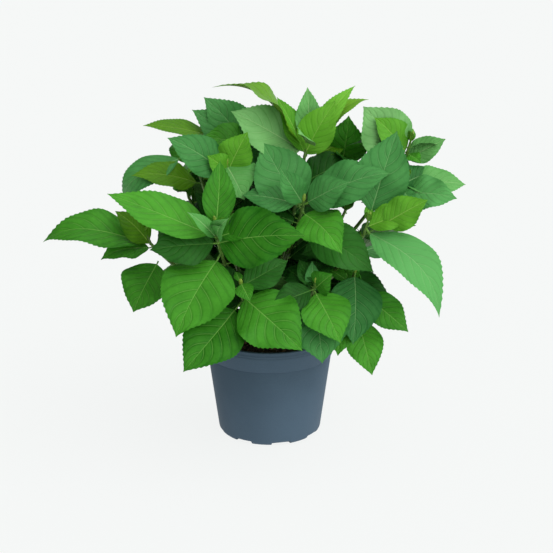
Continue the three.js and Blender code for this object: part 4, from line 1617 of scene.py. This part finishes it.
@dataclass
class Growth:
    """The branching rule: canes, then boughs, then shoots whose pairs of leaves turn as they climb.

    Stem_sunk, bud_gap, the crests and the bud's rise and sizes are in millimetres along the stem.
    """

    eye: Vector
    windows: tuple[Window, ...]
    dice: random.Random = field(default_factory=lambda: random.Random(SEED))
    inner: InnerLeaves = InnerLeaves()
    young: YoungLeaves = YoungLeaves()
    stalk_rule: StalkRule = StalkRule()
    low_node: float = -8.0 * MM
    high_node: float = 12.0 * MM
    bough_inset: float = 3.0 * MM
    bough_sag: float = 0.16
    bough_steps: int = 22
    limb_shifts: tuple[float, float] = (1.7, 0.9)
    nearly_along: float = 0.97
    blade_stalk: float = 0.1
    young_stalk: float = 0.05
    waves: tuple[float, float] = (0.05, 0.13)
    sways: tuple[float, float] = (-0.025, 0.025)
    tones: tuple[float, float] = (0.2, 0.7)
    stem_radii: tuple[float, float] = (2.3 * MM, 1.3 * MM)
    stem_sunk: float = 2.0
    bud_gap: float = 8.0
    leafy_crest: float = 9.0
    bare_crest: float = -10.0
    bud_rise: float = 3.0
    bud_sizes: tuple[float, float] = (2.4, 3.2)
    bud_shape: tuple[float, float] = (0.7, 2.3)
    stems: list[Stem] = field(default_factory=list)
    stalks: list[Stem] = field(default_factory=list)
    buds: list[tuple[Vector, Vector, float]] = field(default_factory=list)

    def bough_path(self, shoot: Shoot) -> list[Vector]:
        """The centre line of a shoot's bough, from where the node's box begins to the seat.

        Args:
            shoot: The shoot.

        Returns:
            Its points, from the cane up.
        """
        low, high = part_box(f"bough_{shoot.name}")
        seat = shoot.seat_point()
        start = Vector(
            near + self.bough_inset if place > (near + far) / 2 else far - self.bough_inset
            for near, far, place in zip(low, high, seat)
        )
        bend = start.lerp(seat, 0.5) - UP * self.bough_sag * (seat - start).length
        return [curve_point(start, bend, seat, i / self.bough_steps) for i in range(self.bough_steps + 1)]

    def limbs(self, bark: bpy.types.Material, green: bpy.types.Material) -> None:
        """Make the canes and the boughs.

        Args:
            bark: The canes' finish.
            green: The boughs' finish.
        """
        woody, boughs = bmesh.new(), bmesh.new()
        for i, cane in enumerate(CANES):
            path = cane.path(CANE_BARK.tip_radius, CANE_BARK.foot_radius)
            add_tube(woody, path, CANE_BARK.radius_at(i * self.limb_shifts[0]), CANE_BARK.sides)
        for i, shoot in enumerate(SHOOTS):
            rule = BOUGH_BARK.radius_at(i * self.limb_shifts[1])
            add_tube(boughs, self.bough_path(shoot), rule, BOUGH_BARK.sides)
        finish_piece("bark_canes", smooth_tubes(woody), [bark], "bark", [cane.node for cane in CANES])
        nodes = [f"bough_{shoot.name}" for shoot in SHOOTS]
        finish_piece("green_boughs", smooth_tubes(boughs), [green], "green_stem", nodes)

    def upper_side(self, shoot: Shoot, tilt: float, face: float | None, way: Vector) -> Vector:
        """The way a leaf's upper side looks.

        Args:
            shoot: Its shoot.
            tilt: How far it leans from straight up, in degrees.
            face: The turn it leans towards, or None for away from the pot's axis.
            way: The leaf's own heading.

        Returns:
            A direction.
        """
        seat = shoot.seat_point()
        turn = math.degrees(math.atan2(seat.y, seat.x)) if face is None else face
        upper = heading(turn, 90 - tilt)
        if abs(upper.dot(way)) > self.nearly_along:
            upper = upper - heading(math.degrees(math.atan2(way.y, way.x)), 0)
        return upper

    def leaf(
        self,
        shoot: Shoot,
        root: Vector,
        tip: Vector,
        tint: Tint,
        width: float,
        tilt: float,
        arch: float,
        fold: float,
        face: float | None,
        stalk: float,
    ) -> Leaf:
        """A leaf with its own small chances of wave, sway and tone.

        Args:
            shoot: Its shoot.
            root: Where its stalk leaves the stem.
            tip: Its tip.
            tint: Its colours.
            width: Its width as a part of its length.
            tilt: How far its upper side leans from straight up.
            arch: Its rise along the midrib as a part of its length.
            fold: The rise of each half from the midrib, in degrees.
            face: The turn that its upper side leans towards.
            stalk: Its stalk as a part of its reach.

        Returns:
            The leaf.
        """
        upper = self.upper_side(shoot, tilt, face, (tip - root).normalized())
        wave, sway, tone = (self.dice.uniform(*ends) for ends in (self.waves, self.sways, self.tones))
        return Leaf(root, tip, upper, width, arch, fold, wave, sway, tint, tone, stalk)

    def is_open(self, leaf: Leaf) -> bool:
        """Whether a leaf leaves every window open."""
        return not any(window.blocked_by(leaf, self.eye) for window in self.windows)

    def named_leaves(self, shoot: Shoot, seat: Vector, stem: Vector) -> Iterator[Leaf]:
        """The leaves of a shoot's own pairs, from its lowest joint up.

        Args:
            shoot: The shoot.
            seat: Where its bough ends.
            stem: The way its stem grows.

        Yields:
            Each leaf that stays out of the windows. The first of a pair with tones always stays.
        """
        steps = max(1, len(shoot.pairs) - 1)
        for i, pair in enumerate(shoot.pairs):
            height = self.low_node + (self.high_node - self.low_node) * i / steps
            root = seat + stem * (height if pair.at is None else pair.at * MM)
            for side in (0, 1):
                way = heading(pair.turn + (180 + pair.skew) * side, pair.rises[side])
                tint = pair.second if side and pair.second else pair.tint
                bends = (row[side] for row in (pair.widths, pair.tilts, pair.arches, pair.folds))
                tip = seat + way * pair.reaches[side] * MM
                leaf = self.leaf(shoot, root, tip, tint, *bends, pair.face, self.blade_stalk)
                if pair.tones:
                    leaf = replace(leaf, tone=pair.tones[side], stalk=pair.stalks[side])
                if pair.tones and not side or self.is_open(leaf):
                    yield leaf

    def inner_leaves(self, shoot: Shoot, path: Sequence[Vector]) -> Iterator[Leaf]:
        """Older leaves inside the crown, a pair at each joint of the bough.

        Args:
            shoot: The shoot.
            path: Its bough's centre line.

        Yields:
            Each leaf that stays out of the windows and behind the shoot's own leaves.
        """
        rule, dice = self.inner, self.dice
        low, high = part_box(f"leaves_{shoot.name}")
        seat, turn = path[-1], shoot.pairs[0].turn + 90
        for i in range(shoot.inner):
            root = path[-2 - 2 * i]
            for side in (0, 1):
                reach = dice.uniform(*rule.reaches)
                spin = turn + 180 * side + dice.uniform(*rule.turns)
                tip = root + heading(spin, dice.uniform(*rule.rises)) * reach * MM
                tip = Vector(max(a, min(b, c)) for a, b, c in zip(low, high, tip))
                roll = spin + dice.uniform(*rule.rolls)
                width = dice.uniform(*rule.widths)
                bends = (width, rule.tilt, rule.arch, rule.fold)
                # Painted shade: leaves inside the crown take the dark deep-shade tint and a darker tone.
                leaf = self.leaf(shoot, root, tip, Tint.DEEP, *bends, roll, self.blade_stalk)
                leaf = replace(leaf, tone=rule.shade * leaf.tone)
                behind = tip.y > seat.y + rule.set_back * MM or seat.y > rule.far_side * MM
                if (tip - root).length > rule.least * MM and behind and self.is_open(leaf):
                    yield leaf
            turn += rule.turn_step

    def young_leaves(self, shoot: Shoot, top: Vector, stem: Vector) -> Iterator[Leaf]:
        """The small folded pairs round the bud, each across the one below it.

        Args:
            shoot: The shoot.
            top: Where the lowest of these pairs stands.
            stem: The way the stem grows.

        Yields:
            Each leaf that stays out of the windows.
        """
        rule, dice = self.young, self.dice
        turn = shoot.pairs[-1].turn + 90
        reach = shoot.young_reach
        for i in range(shoot.young):
            for side in (0, 1):
                rise = dice.uniform(*rule.rises) + rule.rise_step * i
                way = heading(turn + 180 * side + dice.uniform(*rule.turns), rise)
                tip = top + way * reach * dice.uniform(*rule.reaches) * MM
                bends = (rule.width, rule.tilt, rule.arch, rule.fold)
                leaf = self.leaf(shoot, top, tip, Tint.YOUNG, *bends, None, self.young_stalk)
                if self.is_open(leaf):
                    yield leaf
            top = top + stem * rule.spacing * MM
            turn += 90
            reach *= rule.reach_step

    def shoots(self, finishes: LeafFinishes) -> None:
        """Grow every shoot's leaves, and keep its stem, stalks and bud for the joined pieces.

        Args:
            finishes: The material of each tint's upper and under side.
        """
        slots = {Tint.YOUNG: "leaf_young", Tint.COOL: "leaf_cool"}
        for shoot in SHOOTS:
            path = self.bough_path(shoot)
            seat = path[-1]
            stem = ((seat - path[-3]).normalized() + UP).normalized()
            top = seat + stem * (self.high_node + self.bud_gap * MM)
            leaves = [*self.named_leaves(shoot, seat, stem), *self.inner_leaves(shoot, path)]
            leaves += self.young_leaves(shoot, top, stem)
            slot = slots.get(shoot.tint, "leaf_green")
            Spray(leaves).build(f"foliage_{shoot.name}", finishes, slot, [f"leaves_{shoot.name}"])
            crest = top + stem * (self.leafy_crest if shoot.young else self.bare_crest) * MM
            foot = seat - stem * self.stem_sunk * MM
            self.stems.append(Stem((foot, seat.lerp(crest, 0.5), crest), *self.stem_radii))
            size = self.dice.uniform(*self.bud_sizes) * MM
            self.buds.append((crest + stem * self.bud_rise * MM, stem, size))
            self.stalks += [self.stalk_rule.stalk(leaf) for leaf in leaves]

    def join_small_parts(
        self, green: bpy.types.Material, stalk: bpy.types.Material, scale: bpy.types.Material
    ) -> None:
        """Make the joined stems, stalks and buds.

        Args:
            green: The stems' finish.
            stalk: The leaf stalks' finish.
            scale: The buds' finish.
        """
        for name, stems, sides, finish in (
            ("shoot_stems", self.stems, 8, green),
            ("leaf_stalks", self.stalks, 6, stalk),
        ):
            tubes = bmesh.new()
            for stem in stems:
                stem.draw(tubes, sides)
            finish_piece(name, smooth_tubes(tubes), [finish], "green_stem")
        buds = bmesh.new()
        wide, tall = self.bud_shape
        for place, way, size in self.buds:
            turn = way.to_track_quat("Z", "Y").to_matrix().to_4x4()
            pose = Matrix.Translation(place) @ turn @ Matrix.Diagonal((size, size * wide, size * tall, 1.0))
            bmesh.ops.create_icosphere(buds, subdivisions=2, radius=1.0, matrix=pose)
        for face in buds.faces:
            face.smooth = True
        finish_piece("tip_buds", buds, [scale], "green_stem")


WINDOWS = (
    Window((0.743, 0.419, 0.631), 11 * MM),
    Window((0.271, 0.419, 0.773), 8 * MM),
    Window((0.284, 0.419, 0.708), 9 * MM),
    Window((0.252, 0.419, 0.539), 13 * MM),
    Window((0.290, 0.419, 0.428), 7 * MM),
    Window((0.815, 0.419, 0.478), 9 * MM),
    Window((0.848, 0.419, 0.419), 11 * MM),
)


def main() -> None:
    """Build the stage and every sub-assembly in order."""
    logging.basicConfig(level=logging.INFO, format="%(name)s: %(message)s")
    stage = Stage()
    stage.build()
    shared = grain()
    markings = LeafMarkings().group()
    Pot().build(POT_PLASTIC.dress(shared))
    PottingMix().build(MIX_CRUMB.dress(shared), MIX_CHIP.dress(shared))
    green = GREEN_STEM.dress(shared)
    sides = ((tint, under) for tint in Tint for under in (False, True))
    finishes = {side: LeafFinish(*side).dress(markings) for side in sides}
    growth = Growth(stage.eye(), WINDOWS)
    growth.limbs(BARK.dress(shared), green)
    growth.shoots(finishes)
    growth.join_small_parts(green, LEAF_STALK.dress(shared), BUD_SCALE.dress(shared))
    bpy.context.view_layer.update()


if __name__ == "__main__":
    main()
